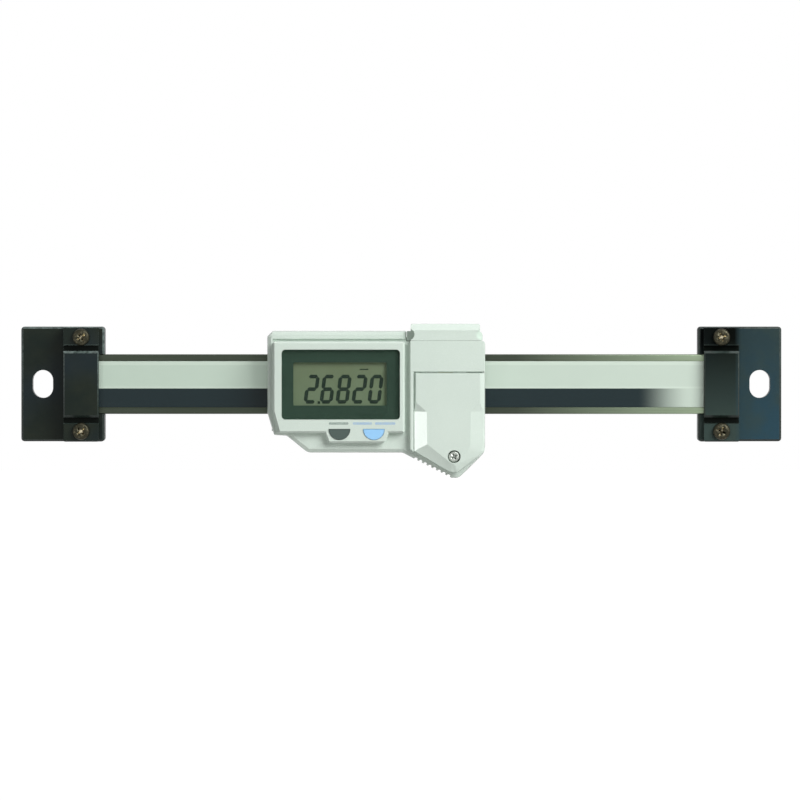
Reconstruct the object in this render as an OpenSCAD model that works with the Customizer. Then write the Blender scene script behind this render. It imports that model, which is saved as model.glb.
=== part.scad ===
// Absolute linear scale unit: a steel beam with a bonded scale, held at both ends by
// slotted brackets, and a sliding reader with a number display, two keys, a battery
// and a covered output connector.
// The frame's origin is the centre of the left mounting slot on the mounting plane.
// +X runs along the beam, +Z is up, and -Y points out of the mounting plane at the reader.
// A "depth" is a distance out from the mounting plane, towards -Y.

/* [Travel] */
// Length that the scale measures
measuring_range = 100; // [50:10:300]
// Free travel left beyond each end of the measuring range
overtravel = 0.45; // [0.2:0.05:3]
// How far the reader stands from the left end of its range
slider_reading = 43.3; // [0:0.1:50]

/* [Beam] */
// Height of the beam
beam_h = 16; // [15:0.5:17]
// Thickness of the beam
beam_t = 3.5; // [3:0.1:5]
// Width of the channel milled along the front of the beam
channel_w = 12.4; // [11:0.1:13.5]
// Depth of that channel
channel_depth = 1; // [0.95:0.05:1.4]
// Thickness of the scale board bonded in the channel
scale_t = 0.8; // [0.5:0.05:0.85]
// Thickness of the film over the scale board
film_t = 0.12; // [0.05:0.01:0.14]
// Chamfer on the long edges of the beam
beam_chamfer = 0.3; // [0.1:0.05:0.5]

/* [End brackets] */
// Height of a bracket
bracket_h = 30.8; // [29:0.2:36]
// Thickness of a bracket's plate
plate_t = 5; // [4.5:0.1:8]
// Width of a mounting slot
slot_w = 5.5; // [4.5:0.1:6.5]
// Length of a mounting slot, end to end
slot_l = 7.5; // [6.6:0.1:12]
// From a slot's centre to the bracket's outer edge
slot_margin = 5.8; // [5:0.1:10]
// From a slot's centre to the clamp
slot_to_clamp = 5.8; // [5:0.1:10]
// Ledge of the bracket inboard of the clamp
ledge_w = 1.5; // [0.5:0.1:4]
// Wall that the end of the beam stands against
end_wall = 1; // [0.6:0.1:2]
// Chamfer on the front edges of a bracket
bracket_chamfer = 0.5; // [0.2:0.05:0.8]
// Corner radius of a bracket
bracket_r = 0.9; // [0.4:0.1:2]

/* [Clamps] */
// Width of a clamp along the beam
clamp_w = 9.4; // [7:0.1:14]
// Height of the clamp's raised middle
hump_h = 17.8; // [17.4:0.1:18.4]
// Thickness of the raised middle
hump_t = 2.8; // [2:0.1:4]
// Height of each screw ear
ear_h = 5; // [4.6:0.1:5.4]
// Thickness of each screw ear
ear_t = 2.2; // [1.8:0.1:3]
// Thickness of the groove between ear and middle
strap_t = 1; // [0.8:0.1:1.7]
// How far the bracket's posts stay below the front of the beam
clamp_pinch = 0.1; // [0.05:0.01:0.2]
// Chamfer on the clamp's front edges
clamp_chamfer = 0.6; // [0.2:0.05:0.8]
// Thread diameter of the clamp screws
clamp_screw_d = 2.5; // [2:0.1:3]
// Length of the clamp screws under the head
clamp_screw_l = 8; // [6:0.5:8.5]
// From the bracket's edge to a clamp screw
clamp_screw_in = 2.8; // [2.6:0.1:3]

/* [Slider frame] */
// From the ends of the housing in to the ends of the slider frame
frame_in = 1.1; // [0.9:0.1:1.6]
// Height of each rail of the slider frame
rail_h = 3.5; // [3.1:0.1:4.5]
// Running gap between the slider and the faces of the beam
run_gap = 0.1; // [0.05:0.01:0.2]
// Thickness of the gib strip
gib_t = 1; // [0.8:0.1:1.1]
// Running gap on each side of the gib strip
gib_gap = 0.05; // [0.03:0.01:0.08]
// Distance between the gib screws
gib_pitch = 18; // [12:1:26]
// Thread diameter of the gib screws and the back plate screws
small_screw_d = 2; // [1.6:0.1:2.2]
// Thickness of the back plate
back_plate_t = 3.5; // [3:0.1:3.8]
// Thickness of the flange that carries the housing
flange_t = 1.5; // [1.3:0.1:2.5]
// Distance between the back plate's screws along the beam
back_screw_pitch = 40; // [36:1:42]
// Diameter of the tapped mounting holes, before threading
mount_d = 2.5; // [2:0.1:3.3]
// Distance between the mounting holes along the beam
mount_pitch_x = 30; // [20:1:32]
// Distance between the mounting holes across the beam
mount_pitch_z = 12; // [8:1:14]
// Width of each wiper strip
wiper_w = 1.5; // [1:0.1:2]

/* [Housing] */
// Width of the housing
body_w = 58.2; // [58:0.2:64]
// Width of the battery and connector side
right_w = 20.9; // [20.6:0.1:21.4]
// How far the display side stands over the top of the slider frame
top_rise = 1.7; // [1.4:0.1:3]
// From the bottom of the slider frame down to the bottom of the shelf
shelf_drop = 5.6; // [5.4:0.1:7]
// From the bottom of the shelf down to the lowest tip
tip_drop = 6.8; // [6.4:0.1:8]
// From the top of the slider frame down to the seat of the battery cap
seat_step = 0.9; // [0.7:0.1:1]
// Thickness of the housing up to its shelf
base_t = 6.5; // [6.4:0.1:8]
// How far the display and connector faces stand above the shelf
face_raise = 2.2; // [2:0.1:3]
// Width of the shadow groove above the display face
shadow_w = 0.7; // [0.4:0.1:1]
// Depth of that groove
shadow_depth = 0.8; // [0.4:0.1:1]
// Chamfer at the top left corner
corner_cut = 1.5; // [0.8:0.1:2]
// Radius of a groove of the thumb grip
grip_r = 0.45; // [0.3:0.05:0.5]
// Distance between the grooves of the thumb grip
grip_pitch = 1.4; // [1.2:0.1:1.8]
// Number of grooves of the thumb grip
grip_count = 8; // [3:1:8]
// Thickness of the gasket behind the housing
gasket_t = 0.4; // [0.3:0.05:0.6]
// Thread diameter of the housing screws
case_screw_d = 1.6; // [1.4:0.1:1.8]
// Length of the housing screws under the head
case_screw_l = 8; // [7:0.5:9]

/* [Display] */
// Width of the display window
window_w = 31.5; // [31:0.1:31.6]
// Height of the display window
window_h = 18.6; // [18:0.1:19]
// Thickness of the display window
window_t = 1.2; // [1:0.05:1.3]
// From the housing's division line to the window
window_in = 1.9; // [1.8:0.1:2.2]
// Width of the part of the display that shows
view_w = 24.8; // [22:0.1:26]
// Height of the part of the display that shows
view_h = 11.8; // [10:0.1:12.4]
// Width of the display glass
lcd_w = 28.5; // [28:0.1:28.8]
// Height of the display glass
lcd_h = 15.6; // [15:0.1:15.8]
// Thickness of each of the two glass plates
lcd_glass_t = 1; // [0.7:0.05:1.2]
// Wall of the display holder
holder_wall = 0.8; // [0.6:0.05:0.8]

/* [Keys] */
// Radius of a half-moon key
key_r = 2.8; // [2.4:0.1:2.9]
// Distance between the keys
key_pitch = 9.2; // [8.4:0.1:9.4]
// From the division line to the right-hand key
key_in = 8.8; // [8.6:0.1:9]
// From the bottom of the shelf up to the flat top of the keys
key_rise = 6.3; // [6.2:0.1:6.4]
// Travel of a key
key_travel = 0.5; // [0.3:0.05:0.6]
// How far a key stands out of the face
key_proud = 0.2; // [0.1:0.05:0.6]

/* [Electronics] */
// Thickness of the main board
board_t = 0.8; // [0.6:0.05:0.9]
// Length of the reader board along the beam
reader_l = 34; // [28:1:36]
// Height of the reader board
reader_h = 11.2; // [9:0.1:11.6]
// Thickness of the reader board
reader_t = 1; // [0.8:0.05:1.2]
// Diameter of the button cell
cell_d = 11.6; // [11.4:0.1:11.6]
// Thickness of the button cell
cell_t = 5.4; // [5:0.1:5.4]
// Thickness of the battery contacts
contact_t = 0.25; // [0.15:0.05:0.3]
// Width of the output connector
connector_w = 11.8; // [10:0.1:12.4]
// Height of the output connector
connector_h = 5; // [4:0.1:5.4]

/* [Connector cover] */
// From the beam's centre line up to the cover's top edge
cover_top = 3.2; // [2.4:0.1:3.6]
// From the housing's tip up to the cover's tip
cover_in = 1.7; // [1.4:0.1:2]
// Thickness of the cover at its rim
cover_rim = 0.8; // [0.6:0.05:1]
// Height of the cover's panel above its rim
cover_crown = 0.9; // [0.6:0.05:1]
// Width of the side facets of the cover
facet_w = 3.4; // [2.4:0.1:3.6]
// Gap round the cover
cover_gap = 0.12; // [0.08:0.01:0.2]
// Thread diameter of the cover screw
cover_screw_d = 2; // [1.6:0.1:2.2]
// Length of the cover screw under its head
cover_screw_l = 4; // [3.5:0.1:4.5]

/* [Hidden] */
$fn = 48;

// Clearances that the whole unit shares
thread_gap = 0.03;      // between a thread and its tapped hole, on the radius
slip_gap = 0.1;         // between a piece and the pocket that it is dropped into
bond_gap = 0.05;        // between a bonded piece and the wall beside it
seat_gap = 0.05;        // under a cap that seats on its seal
over = 1;               // how far a cutter runs past the face that it cuts
arc_steps = 5;          // sides in each rounded corner

// Small sizes that more than one piece uses
gasket_w = 0.9;         // width of the gasket behind the housing
groove_w = 0.8;         // width of the cover gasket and its groove
groove_depth = 0.5;     // thickness of the cover gasket
seal_h = 0.7;           // height of the battery cap's seal
plug_gap = 0.4;         // between the battery cap's plug and its bay, taken up by the seal
contact_w = 4;          // width of the battery contacts
contact_l = 8;          // how far each lies along the cell
zebra_t = 1.2;          // width of the contact strips under the display glass
socket_gap = 0.3;       // round the output connector, inside its pocket
socket_wall = 0.8;      // between the connector's pocket and the cover gasket
plug_depth = 1.3;       // how far the battery cap's plug goes into its bay
post_drop = 1.1;        // from a key's flat top down to the post behind it
recess = 1.1;           // depth of the counterbores for the housing screws
head_sink = 1.3;        // from the cover's face down to the seat of its screw
facet_drop = 7.9;       // from the cover's top edge down to the start of its side facets
facet_run = 2.5;        // from there down to where they reach their full width
cover_draft = 0.1;      // how far the cover's sides draw in below that height

// Places along the beam
bracket_inner = slot_to_clamp + clamp_w + ledge_w;
slider_x = bracket_inner + overtravel + slider_reading + body_w / 2;
slot_pitch = 2 * bracket_inner + 2 * overtravel + measuring_range + body_w;
beam_start = slot_to_clamp + end_wall + slip_gap;
clamp_screw_x = slot_to_clamp + clamp_w / 2;
clamp_screw_z = bracket_h / 2 - clamp_screw_in;

// Depths, from the mounting plane outwards
beam_back = plate_t;
beam_front = beam_back + beam_t;
scale_front = beam_front - channel_depth + scale_t;
post_front = beam_front - clamp_pinch;
ear_front = post_front + ear_t;
plate_front = beam_back - run_gap;
plate_back = plate_front - back_plate_t;
flange_back = beam_front + run_gap;
flange_front = flange_back + flange_t;
case_back = flange_front + gasket_t;
base_front = case_back + base_t;
face_front = base_front + face_raise;
board_back = flange_front + slip_gap;
board_front = board_back + board_t;
bay_front = face_front - window_t - 0.8;
lcd_front = bay_front - slip_gap;
key_ceiling = base_front - 0.2;
cover_back = base_front + 0.7;
cover_face = cover_back + cover_rim + cover_crown;
cell_back = board_front + contact_t + slip_gap;
cell_front = cell_back + cell_t;
cell_bay_front = cell_front + contact_t + slip_gap;
cover_screw_seat = cover_face - head_sink;
key_back = key_ceiling - 0.8;

// Heights and widths of the slider, from the beam's centre line and the slider's middle
left = -body_w / 2;
right = body_w / 2;
division = right - right_w;
rail_top = beam_h / 2 + 2 * gib_gap + gib_t;
rail_bottom = beam_h / 2 + run_gap;
frame_l = body_w - 2 * frame_in;
frame_h = 2 * (rail_top + rail_h);
screw_row = rail_top + rail_h / 2 - 0.4;
body_top = frame_h / 2 + top_rise;
body_bottom = frame_h / 2 + shelf_drop;
tip_depth = body_bottom + tip_drop;
cap_seat = frame_h / 2 - seat_step;
cover_tip = tip_depth - cover_in;
key_top = body_bottom - key_rise;
window_x = division - window_in - window_w / 2;
view_x = window_x - 0.55;
key_x = [division - key_in - key_pitch, division - key_in];
key_side = key_r + 0.9;
key_floor = key_top + key_r + 0.3;
cell_x = right - 10.6;
cell_z = cap_seat - 7.3;
bay_r = cell_d / 2 + slip_gap;
cap_left = division + 1;
cap_right = right - 1.4;
cap_top = cap_seat + 4.5;
case_screws_at = [
    [left + 4.5, screw_row], [left + 4.5, -screw_row],
    [right - 3.1, screw_row], [right - 3.1, -screw_row]
];
gib_depth = (plate_front + flange_back) / 2;
cover_left = division + 1.9;
cover_right = right - 0.5;
lobe_top = -key_top - 1;
facet_top = cover_top - facet_drop;
facet_full = facet_top - facet_run;
cover_screw_at = [right - 8.3, 4.1 - cover_tip];
connector_at = [cell_x + 0.4, cell_z - bay_r - 6.2];
connector_foot = connector_at.y - connector_h / 2 - 0.6;

// ---- Outlines, as points [across, up] that run clockwise seen from the front ----

function unit(v) = v / norm(v);
function right_of(v) = [v.y, -v.x];
function neighbour(pts, i, step) = pts[(i + step + len(pts)) % len(pts)];

// An outline with every side moved inwards by gap
function inset(pts, gap) = [
    for (i = [0 : len(pts) - 1])
        let (
            n0 = right_of(unit(pts[i] - neighbour(pts, i, -1))),
            n1 = right_of(unit(neighbour(pts, i, 1) - pts[i]))
        )
        pts[i] + (n0 + n1) * gap / (1 + n0 * n1)
];

// The same outline with each corner rounded to its radius; a corner of radius 0 stays sharp
function rounded(pts, radii) = [
    for (i = [0 : len(pts) - 1])
        let (
            u = unit(neighbour(pts, i, -1) - pts[i]),
            v = unit(neighbour(pts, i, 1) - pts[i]),
            half = acos(u * v) / 2,
            centre = pts[i] + unit(u + v) * radii[i] / sin(half),
            start = pts[i] + u * radii[i] / tan(half) - centre,
            end = pts[i] + v * radii[i] / tan(half) - centre,
            angle = atan2(start.y, start.x),
            turn = atan2(cross(start, end), start * end)
        )
        for (k = radii[i] == 0 ? [0] : [0 : arc_steps])
            centre + radii[i] * [cos(angle + turn * k / arc_steps), sin(angle + turn * k / arc_steps)]
];

// Whether a corner stands out of the outline, and isn't a notch in it
function turns_in(pts, i) =
    cross(neighbour(pts, i, 0) - neighbour(pts, i, -1), neighbour(pts, i, 1) - neighbour(pts, i, 0)) < 0;

// An inset outline whose round corners keep their centres
function ring(pts, radii, gap) =
    rounded(inset(pts, gap), [
        for (i = [0 : len(pts) - 1]) turns_in(pts, i) ? max(radii[i] - gap, 0.15) : radii[i] + gap
    ]);

// Housing: display side on the left, a slanted heel, the shelf, the pointed connector side
case_outline = [
    [left, body_top - corner_cut], [left + corner_cut, body_top],
    [division - 0.2, body_top], [division - 0.2, cap_seat],
    [right, cap_seat], [right, -body_bottom + 0.2], [right - 7, -tip_depth],
    [right - 9, -tip_depth], [division - 1.2, -body_bottom],
    [left + 10.8, -body_bottom], [left + 5.2, -body_bottom + 4.5],
    [left + 1.8, -body_bottom + 4.7], [left, -body_bottom + 10.7]
];
case_radii = [0.6, 0.8, 0.4, 0.3, 1, 3.6, 2.4, 2.2, 2, 3, 1.5, 0.6, 3];

// Raised face round the window, with a lobe below it for the keys
face_outline = [
    [left + 1.5, window_h / 2 + 2.2], [division - 0.6, window_h / 2 + 2.2],
    [division - 0.6, lobe_top], [key_x[1] + key_side + 0.3, lobe_top],
    [key_x[1] + key_side - 0.7, -key_floor - 0.6], [key_x[0] - key_side + 0.7, -key_floor - 0.6],
    [key_x[0] - key_side - 0.3, lobe_top], [left + 3.1, lobe_top],
    [left + 1.5, -body_bottom + 11]
];
face_radii = [0.8, 0.5, 0.5, 0.5, 2, 2, 0.5, 0.8, 2];

// Raised face of the battery side, with a narrow strip down beside the connector cover
panel_outline = [
    [division + 0.7, cap_seat], [right - 0.1, cap_seat],
    [right - 0.1, cover_top + cover_gap], [cover_left - cover_gap, cover_top + cover_gap],
    [cover_left - cover_gap, -body_bottom + 0.2], [division + 0.7, -body_bottom + 0.8]
];
panel_radii = [0.3, 0.9, 0.15, 0.15, 0.15, 0.3];

// Rim and crown of the connector cover: each crown corner belongs to a rim corner
cover_corners = [
    [cover_left, cover_top], [cover_right, cover_top],
    [cover_right, facet_full], [cover_right - cover_draft, -body_bottom + 0.2],
    [right - 7.4, -cover_tip], [right - 9.4, -cover_tip],
    [cover_left + cover_draft, -body_bottom + 0.5], [cover_left, facet_full]
];
cover_radii = [0, 0, 0, 3, 1.8, 1.5, 0, 0];
crown_corners = [
    [cover_left + 0.5, cover_top - 0.3], [cover_right - 0.9, cover_top - 0.3],
    [cover_right - 0.9, facet_top], [cover_right - facet_w, facet_full],
    [cover_right - cover_draft - facet_w, -body_bottom + 1.6],
    [right - 8.1, -cover_tip + 1.9], [right - 9.1, -cover_tip + 2.3],
    [cover_left + cover_draft + facet_w, -body_bottom + 2.3], [cover_left + facet_w, facet_full],
    [cover_left + 0.5, facet_top]
];
crown_radii = [0, 0, 0, 0, 2.4, 0.5, 0.5, 0, 0, 0];
crown_to_rim = [0, 1, 2, 2, 3, 4, 5, 6, 7, 7];
cover_outline = rounded(cover_corners, cover_radii);
crown_outline = rounded(crown_corners, crown_radii);

// Number of the first point that a rounded outline has at one of its corners
function first_point(radii, corner) =
    corner == 0 ? 0 : first_point(radii, corner - 1) + (radii[corner - 1] == 0 ? 1 : arc_steps + 1);

// The rim's point that each point of the crown belongs to
crown_near = [
    for (i = [0 : len(crown_corners) - 1])
        for (k = crown_radii[i] == 0 ? [0] : [0 : arc_steps])
            first_point(cover_radii, crown_to_rim[i]) + k
];

// The crown's flat front as two convex faces that meet where the side facets are widest
crown_faces = let (r = first_point(crown_radii, 3), l = first_point(crown_radii, 8)) [
    [for (i = [r : l]) i],
    [for (i = [0 : len(crown_outline) - 1]) if (i <= r || i >= l) i]
];

// ---- Ways of making a solid ----

// An outline drawn [across, up], from one depth to another
module slab(from, to) {
    rotate([90, 0, 0]) translate([0, 0, from]) linear_extrude(to - from) children();
}

// A cross-section drawn [-depth, up], from one place along the beam to another
module along_x(from, to) {
    translate([from, 0, 0]) rotate([90, 0, 90]) linear_extrude(to - from) children();
}

// A plan drawn [across, -depth], from one height to another
module along_z(from, to) {
    translate([0, 0, from]) linear_extrude(to - from) children();
}

// Where the cut along a side ends, a gap inwards from that side: it runs on past a corner that
// stands out, and in a notch it stops just over the mitre line
function cut_end(pts, i, along, inwards, gap, lap) =
    turns_in(pts, i)
    ? pts[i] + gap * inwards + 2 * over * along
    : inset(pts, gap)[i] + lap * along;

// Cuts the front edges of an outline's slab: so far across its face, and so deep down its side.
// The sides in leave stay sharp, each named by its first corner.
module bevel_edges(pts, front, across, deep, leave = []) {
    for (i = [0 : len(pts) - 1]) if (len(search(i, leave)) == 0) {
        next = (i + 1) % len(pts);
        side = pts[next] - pts[i];
        along = unit(side);
        inwards = right_of(along);
        lap = across / 20;
        intersection() {
            slab(front - deep - over, front + over) polygon([
                cut_end(pts, i, -along, inwards, -over, lap),
                cut_end(pts, next, along, inwards, -over, lap),
                cut_end(pts, next, along, inwards, across + 0.1, lap),
                cut_end(pts, i, -along, inwards, across + 0.1, lap)
            ]);
            translate([pts[i].x, -front, pts[i].y]) rotate([0, -atan2(side.y, side.x), 0])
                translate([-3 * over, 0, 0]) rotate([90, 0, 90]) linear_extrude(norm(side) + 6 * over)
                    polygon([
                        [-over, -across * (1 + over / deep)],
                        [deep * (1 + over / across), over], [-over, over]
                    ]);
        }
    }
}

// Straight walls from one outline to another further forward, which may have more corners:
// near[i] is the corner of the first outline that corner i of the second one belongs to, and
// faces are the convex faces that the second outline is cut into
module loft(rim, crown, near, faces, from, to) {
    n = len(rim);
    m = len(crown);
    points = concat([for (p = rim) [p.x, -from, p.y]], [for (p = crown) [p.x, -to, p.y]]);
    walls = [
        for (i = [0 : m - 1])
            let (j = (i + 1) % m, a = near[i], b = near[j])
            each a == b ? [[a, n + j, n + i]] : [[a, b, n + j], [a, n + j, n + i]]
    ];
    polyhedron(points, concat(
        [[for (i = [0 : n - 1]) n - 1 - i]], walls, [for (face = faces) [for (i = face) n + i]]));
}

// A rod that points out of the mounting plane, at [across, up]
module rod(at, r, from, to) {
    translate([at.x, -from, at.y]) rotate([90, 0, 0]) cylinder(r = r, h = to - from);
}

module at_slider() {
    translate([slider_x, 0, 0]) children();
}

// Two crossing slots that a screwdriver fits
module cross_recess(width, depth) {
    for (turn = [45, 135])
        rotate([0, 0, turn]) translate([-width / 2, -width / 8, -depth]) cube([width, width / 4, depth + over]);
}

// Pan-head screw: the head's underside at the origin, the head towards +Z
module pan_screw(thread_d, head_d, head_t, length) {
    difference() {
        union() {
            intersection() {
                cylinder(d = head_d, h = head_t);
                translate([0, 0, head_t - head_d]) sphere(r = head_d);
            }
            translate([0, 0, -length]) cylinder(d = thread_d, h = length);
        }
        translate([0, 0, head_t]) cross_recess(head_d * 0.62, head_t * 0.55);
    }
}

// ---- Beam ----

module beam() {
    half = beam_h / 2;
    c = beam_chamfer;
    color("#8d958e") along_x(beam_start, slot_pitch - beam_start) difference() {
        polygon([
            [-beam_front + c, half], [-beam_front, half - c], [-beam_front, c - half],
            [-beam_front + c, -half], [-beam_back - c, -half], [-beam_back, c - half],
            [-beam_back, half - c], [-beam_back - c, half]
        ]);
        translate([-beam_front - over, -channel_w / 2]) square([channel_depth + over, channel_w]);
    }
}

module scale_board() {
    color("#3c6b46") along_x(beam_start, slot_pitch - beam_start)
        translate([-scale_front, bond_gap - channel_w / 2]) square([scale_t, channel_w - 2 * bond_gap]);
}

module scale_film() {
    color("#bdcabd") along_x(beam_start, slot_pitch - beam_start)
        translate([-scale_front - film_t, bond_gap - channel_w / 2]) square([film_t, channel_w - 2 * bond_gap]);
}

// ---- End brackets and clamps, drawn for the left end with the slot at the origin ----

// Turns a left-hand piece into the right-hand one
module right_end() {
    translate([slot_pitch, 0, 0]) mirror([1, 0, 0]) children();
}

module end_bracket() {
    half = bracket_h / 2;
    channel = beam_h / 2 + bond_gap;
    c = bracket_chamfer;
    difference() {
        intersection() {
            union() {
                along_x(-slot_margin, slot_to_clamp)
                    polygon([[0, -half], [0, half], [c - plate_t, half], [-plate_t, half - c],
                        [-plate_t, c - half], [c - plate_t, -half]]);
                along_x(slot_to_clamp, bracket_inner) difference() {
                    polygon([[0, -half], [0, half], [c - post_front, half], [-post_front, half - c],
                        [-post_front, c - half], [c - post_front, -half]]);
                    translate([-post_front - over, -channel])
                        square([post_front - plate_t + over, 2 * channel]);
                }
                along_x(slot_to_clamp, slot_to_clamp + end_wall)
                    translate([-post_front, -channel - over]) square([post_front, 2 * (channel + over)]);
            }
            slab(0, post_front) polygon(rounded(
                [[-slot_margin, half], [bracket_inner, half], [bracket_inner, -half], [-slot_margin, -half]],
                [bracket_r, bracket_r, bracket_r, bracket_r]));
            along_z(-half, half)
                polygon([[-slot_margin, 0], [bracket_inner, 0], [bracket_inner, c - post_front],
                    [bracket_inner - c, -post_front], [slot_to_clamp, -post_front],
                    [slot_to_clamp, -plate_t], [c - slot_margin, -plate_t], [-slot_margin, c - plate_t]]);
        }
        slab(-over, plate_t + over) mounting_slot();
        for (side = [-1, 1])
            rod([clamp_screw_x, side * clamp_screw_z], clamp_screw_d / 2 + thread_gap,
                ear_front - clamp_screw_l - 0.5, post_front + over);
    }
}

module mounting_slot() {
    run = slot_l - slot_w;
    square([slot_w, run], center = true);
    for (side = [-1, 1]) translate([0, side * run / 2]) circle(d = slot_w);
}

module clamp() {
    half = bracket_h / 2;
    hump = hump_h / 2;
    ear = half - ear_h;
    hump_front = beam_front + hump_t;
    strap = post_front + strap_t;
    c = clamp_chamfer;
    difference() {
        intersection() {
            along_x(slot_to_clamp, slot_to_clamp + clamp_w) difference() {
                polygon([
                    [-post_front, -half], [-post_front, half], [c / 2 - ear_front, half],
                    [-ear_front, half - c / 2], [-ear_front, ear + c / 3], [c / 3 - ear_front, ear],
                    [-strap, ear], [-strap, hump], [c - hump_front, hump], [-hump_front, hump - c],
                    [-hump_front, c - hump], [c - hump_front, -hump], [-strap, -hump],
                    [-strap, -ear], [c / 3 - ear_front, -ear], [-ear_front, -ear - c / 3],
                    [-ear_front, c / 2 - half], [c / 2 - ear_front, -half]
                ]);
                translate([-beam_front, -beam_h / 2 - bond_gap])
                    square([clamp_pinch + over, beam_h + 2 * bond_gap]);
            }
            along_z(-half, half)
                polygon([
                    [slot_to_clamp, -post_front + over], [slot_to_clamp + clamp_w, -post_front + over],
                    [slot_to_clamp + clamp_w, c / 2 - hump_front],
                    [slot_to_clamp + clamp_w - c / 2, -hump_front],
                    [slot_to_clamp + c / 2, -hump_front], [slot_to_clamp, c / 2 - hump_front]
                ]);
            slab(post_front - over, hump_front + over) polygon(rounded(
                [[slot_to_clamp, half], [slot_to_clamp + clamp_w, half],
                    [slot_to_clamp + clamp_w, -half], [slot_to_clamp, -half]],
                [bracket_r / 2, bracket_r / 2, bracket_r / 2, bracket_r / 2]));
        }
        for (side = [-1, 1])
            rod([clamp_screw_x, side * clamp_screw_z], clamp_screw_d / 2 + bond_gap,
                post_front - over, hump_front);
    }
}

module clamp_screws() {
    for (side = [-1, 1])
        translate([clamp_screw_x, -ear_front, side * clamp_screw_z]) rotate([90, 0, 0])
            pan_screw(clamp_screw_d, clamp_screw_d * 1.84, clamp_screw_d * 0.6, clamp_screw_l);
}

module left_bracket() { color("#2b312f") end_bracket(); }
module right_bracket() { color("#2b312f") right_end() end_bracket(); }
module left_clamp() { color("#262c2b") clamp(); }
module right_clamp() { color("#262c2b") right_end() clamp(); }
module left_clamp_screws() { color("#33302a") clamp_screws(); }
module right_clamp_screws() { color("#33302a") right_end() clamp_screws(); }

// ---- Slider frame: a channel round the beam, closed behind by the back plate ----

module slider_frame() {
    half = frame_l / 2;
    color("#a9aeaa") at_slider() difference() {
        union() {
            slab(flange_back, flange_front) polygon(ring(case_outline, case_radii, frame_in));
            slab(plate_front, flange_back) {
                translate([-half, rail_top]) square([frame_l, frame_h / 2 - rail_top]);
                translate([-half, -frame_h / 2]) square([frame_l, frame_h / 2 - rail_bottom]);
            }
        }
        slab(flange_back - over, flange_front + over)
            square([reader_l + 2 * bond_gap, reader_h + 2 * bond_gap], center = true);
        for (side = [-1, 1])
            slab(flange_back - over, flange_back + 0.8)
                translate([side * (half - wiper_w), 0])
                    square([wiper_w, beam_h - 0.6], center = true);
        for (at = case_screws_at) {
            rod(at, case_screw_d / 2 + bond_gap, plate_front - over, flange_front + over);
            rod(at, case_screw_d * 0.8 + bond_gap, plate_front - over, plate_front + recess);
        }
        for (x = [-1, 1], z = [-1, 1])
            rod([x * back_screw_pitch / 2, z * screw_row], small_screw_d / 2 + thread_gap,
                plate_front - over, flange_back - 0.4);
        for (side = [-1, 1])
            translate([side * gib_pitch / 2, -gib_depth, rail_top - over])
                cylinder(d = small_screw_d + 2 * thread_gap, h = frame_h);
    }
}

module gib_strip() {
    color("#b98f4e") at_slider()
        slab(plate_front + slip_gap, flange_back - slip_gap)
            translate([-frame_l / 2 + 2, beam_h / 2 + gib_gap]) square([frame_l - 4, gib_t]);
}

module gib_screws() {
    from = beam_h / 2 + gib_gap + gib_t;
    color("#4a4a48") at_slider() for (side = [-1, 1])
        translate([side * gib_pitch / 2, -gib_depth, from]) difference() {
            cylinder(d = small_screw_d, h = frame_h / 2 - from - 0.2);
            translate([0, 0, frame_h / 2 - from - 0.2]) cross_recess(small_screw_d * 0.7, 0.9);
        }
}

module wiper_strips() {
    color("#3a3a3a") at_slider() for (side = [-1, 1])
        slab(beam_front + bond_gap, flange_back + 0.8)
            translate([side * (frame_l / 2 - wiper_w), 0])
                square([wiper_w - 2 * bond_gap, beam_h - 0.7], center = true);
}

module back_plate() {
    hx = frame_l / 2;
    hz = frame_h / 2;
    c = 0.5;
    color("#9ea39f") at_slider() difference() {
        intersection() {
            slab(plate_back, plate_front) polygon(rounded(
                [[-hx, hz], [hx, hz], [hx, -hz], [-hx, -hz]], [1, 1, 1, 1]));
            along_x(-hx, hx) polygon([
                [-plate_front, -hz], [-plate_front, hz], [-plate_back - c, hz],
                [-plate_back, hz - c], [-plate_back, c - hz], [-plate_back - c, -hz]]);
            along_z(-hz, hz) polygon([
                [-hx, -plate_front], [hx, -plate_front], [hx, -plate_back - c],
                [hx - c, -plate_back], [c - hx, -plate_back], [-hx, -plate_back - c]]);
        }
        for (x = [-1, 1], z = [-1, 1]) {
            rod([x * mount_pitch_x / 2, z * mount_pitch_z / 2], mount_d / 2, plate_back - over, plate_front + over);
            rod([x * back_screw_pitch / 2, z * screw_row], small_screw_d / 2 + bond_gap,
                plate_back - over, plate_front + over);
            translate([x * back_screw_pitch / 2, -plate_back, z * screw_row]) rotate([90, 0, 0])
                cylinder(d1 = small_screw_d * 1.9 + 2 * bond_gap, d2 = small_screw_d,
                    h = small_screw_d * 0.45 + bond_gap);
        }
    }
}

module back_plate_screws() {
    head = small_screw_d * 1.9;
    color("#4a4a48") at_slider() for (x = [-1, 1], z = [-1, 1])
        translate([x * back_screw_pitch / 2, -plate_back, z * screw_row]) rotate([90, 0, 0])
            difference() {
                union() {
                    cylinder(d1 = head, d2 = small_screw_d, h = small_screw_d * 0.45);
                    cylinder(d = small_screw_d, h = back_plate_t + 2.5);
                }
                mirror([0, 0, 1]) cross_recess(head * 0.55, 0.7);
            }
}

// ---- Electronics ----

module reader_board() {
    color("#2f6b3c") at_slider() slab(flange_back + bond_gap, flange_back + bond_gap + reader_t)
        square([reader_l, reader_h], center = true);
}

module reader_connector() {
    color("#2c2c30") at_slider() slab(flange_back + bond_gap + reader_t, board_back)
        square([16, 3], center = true);
}

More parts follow.
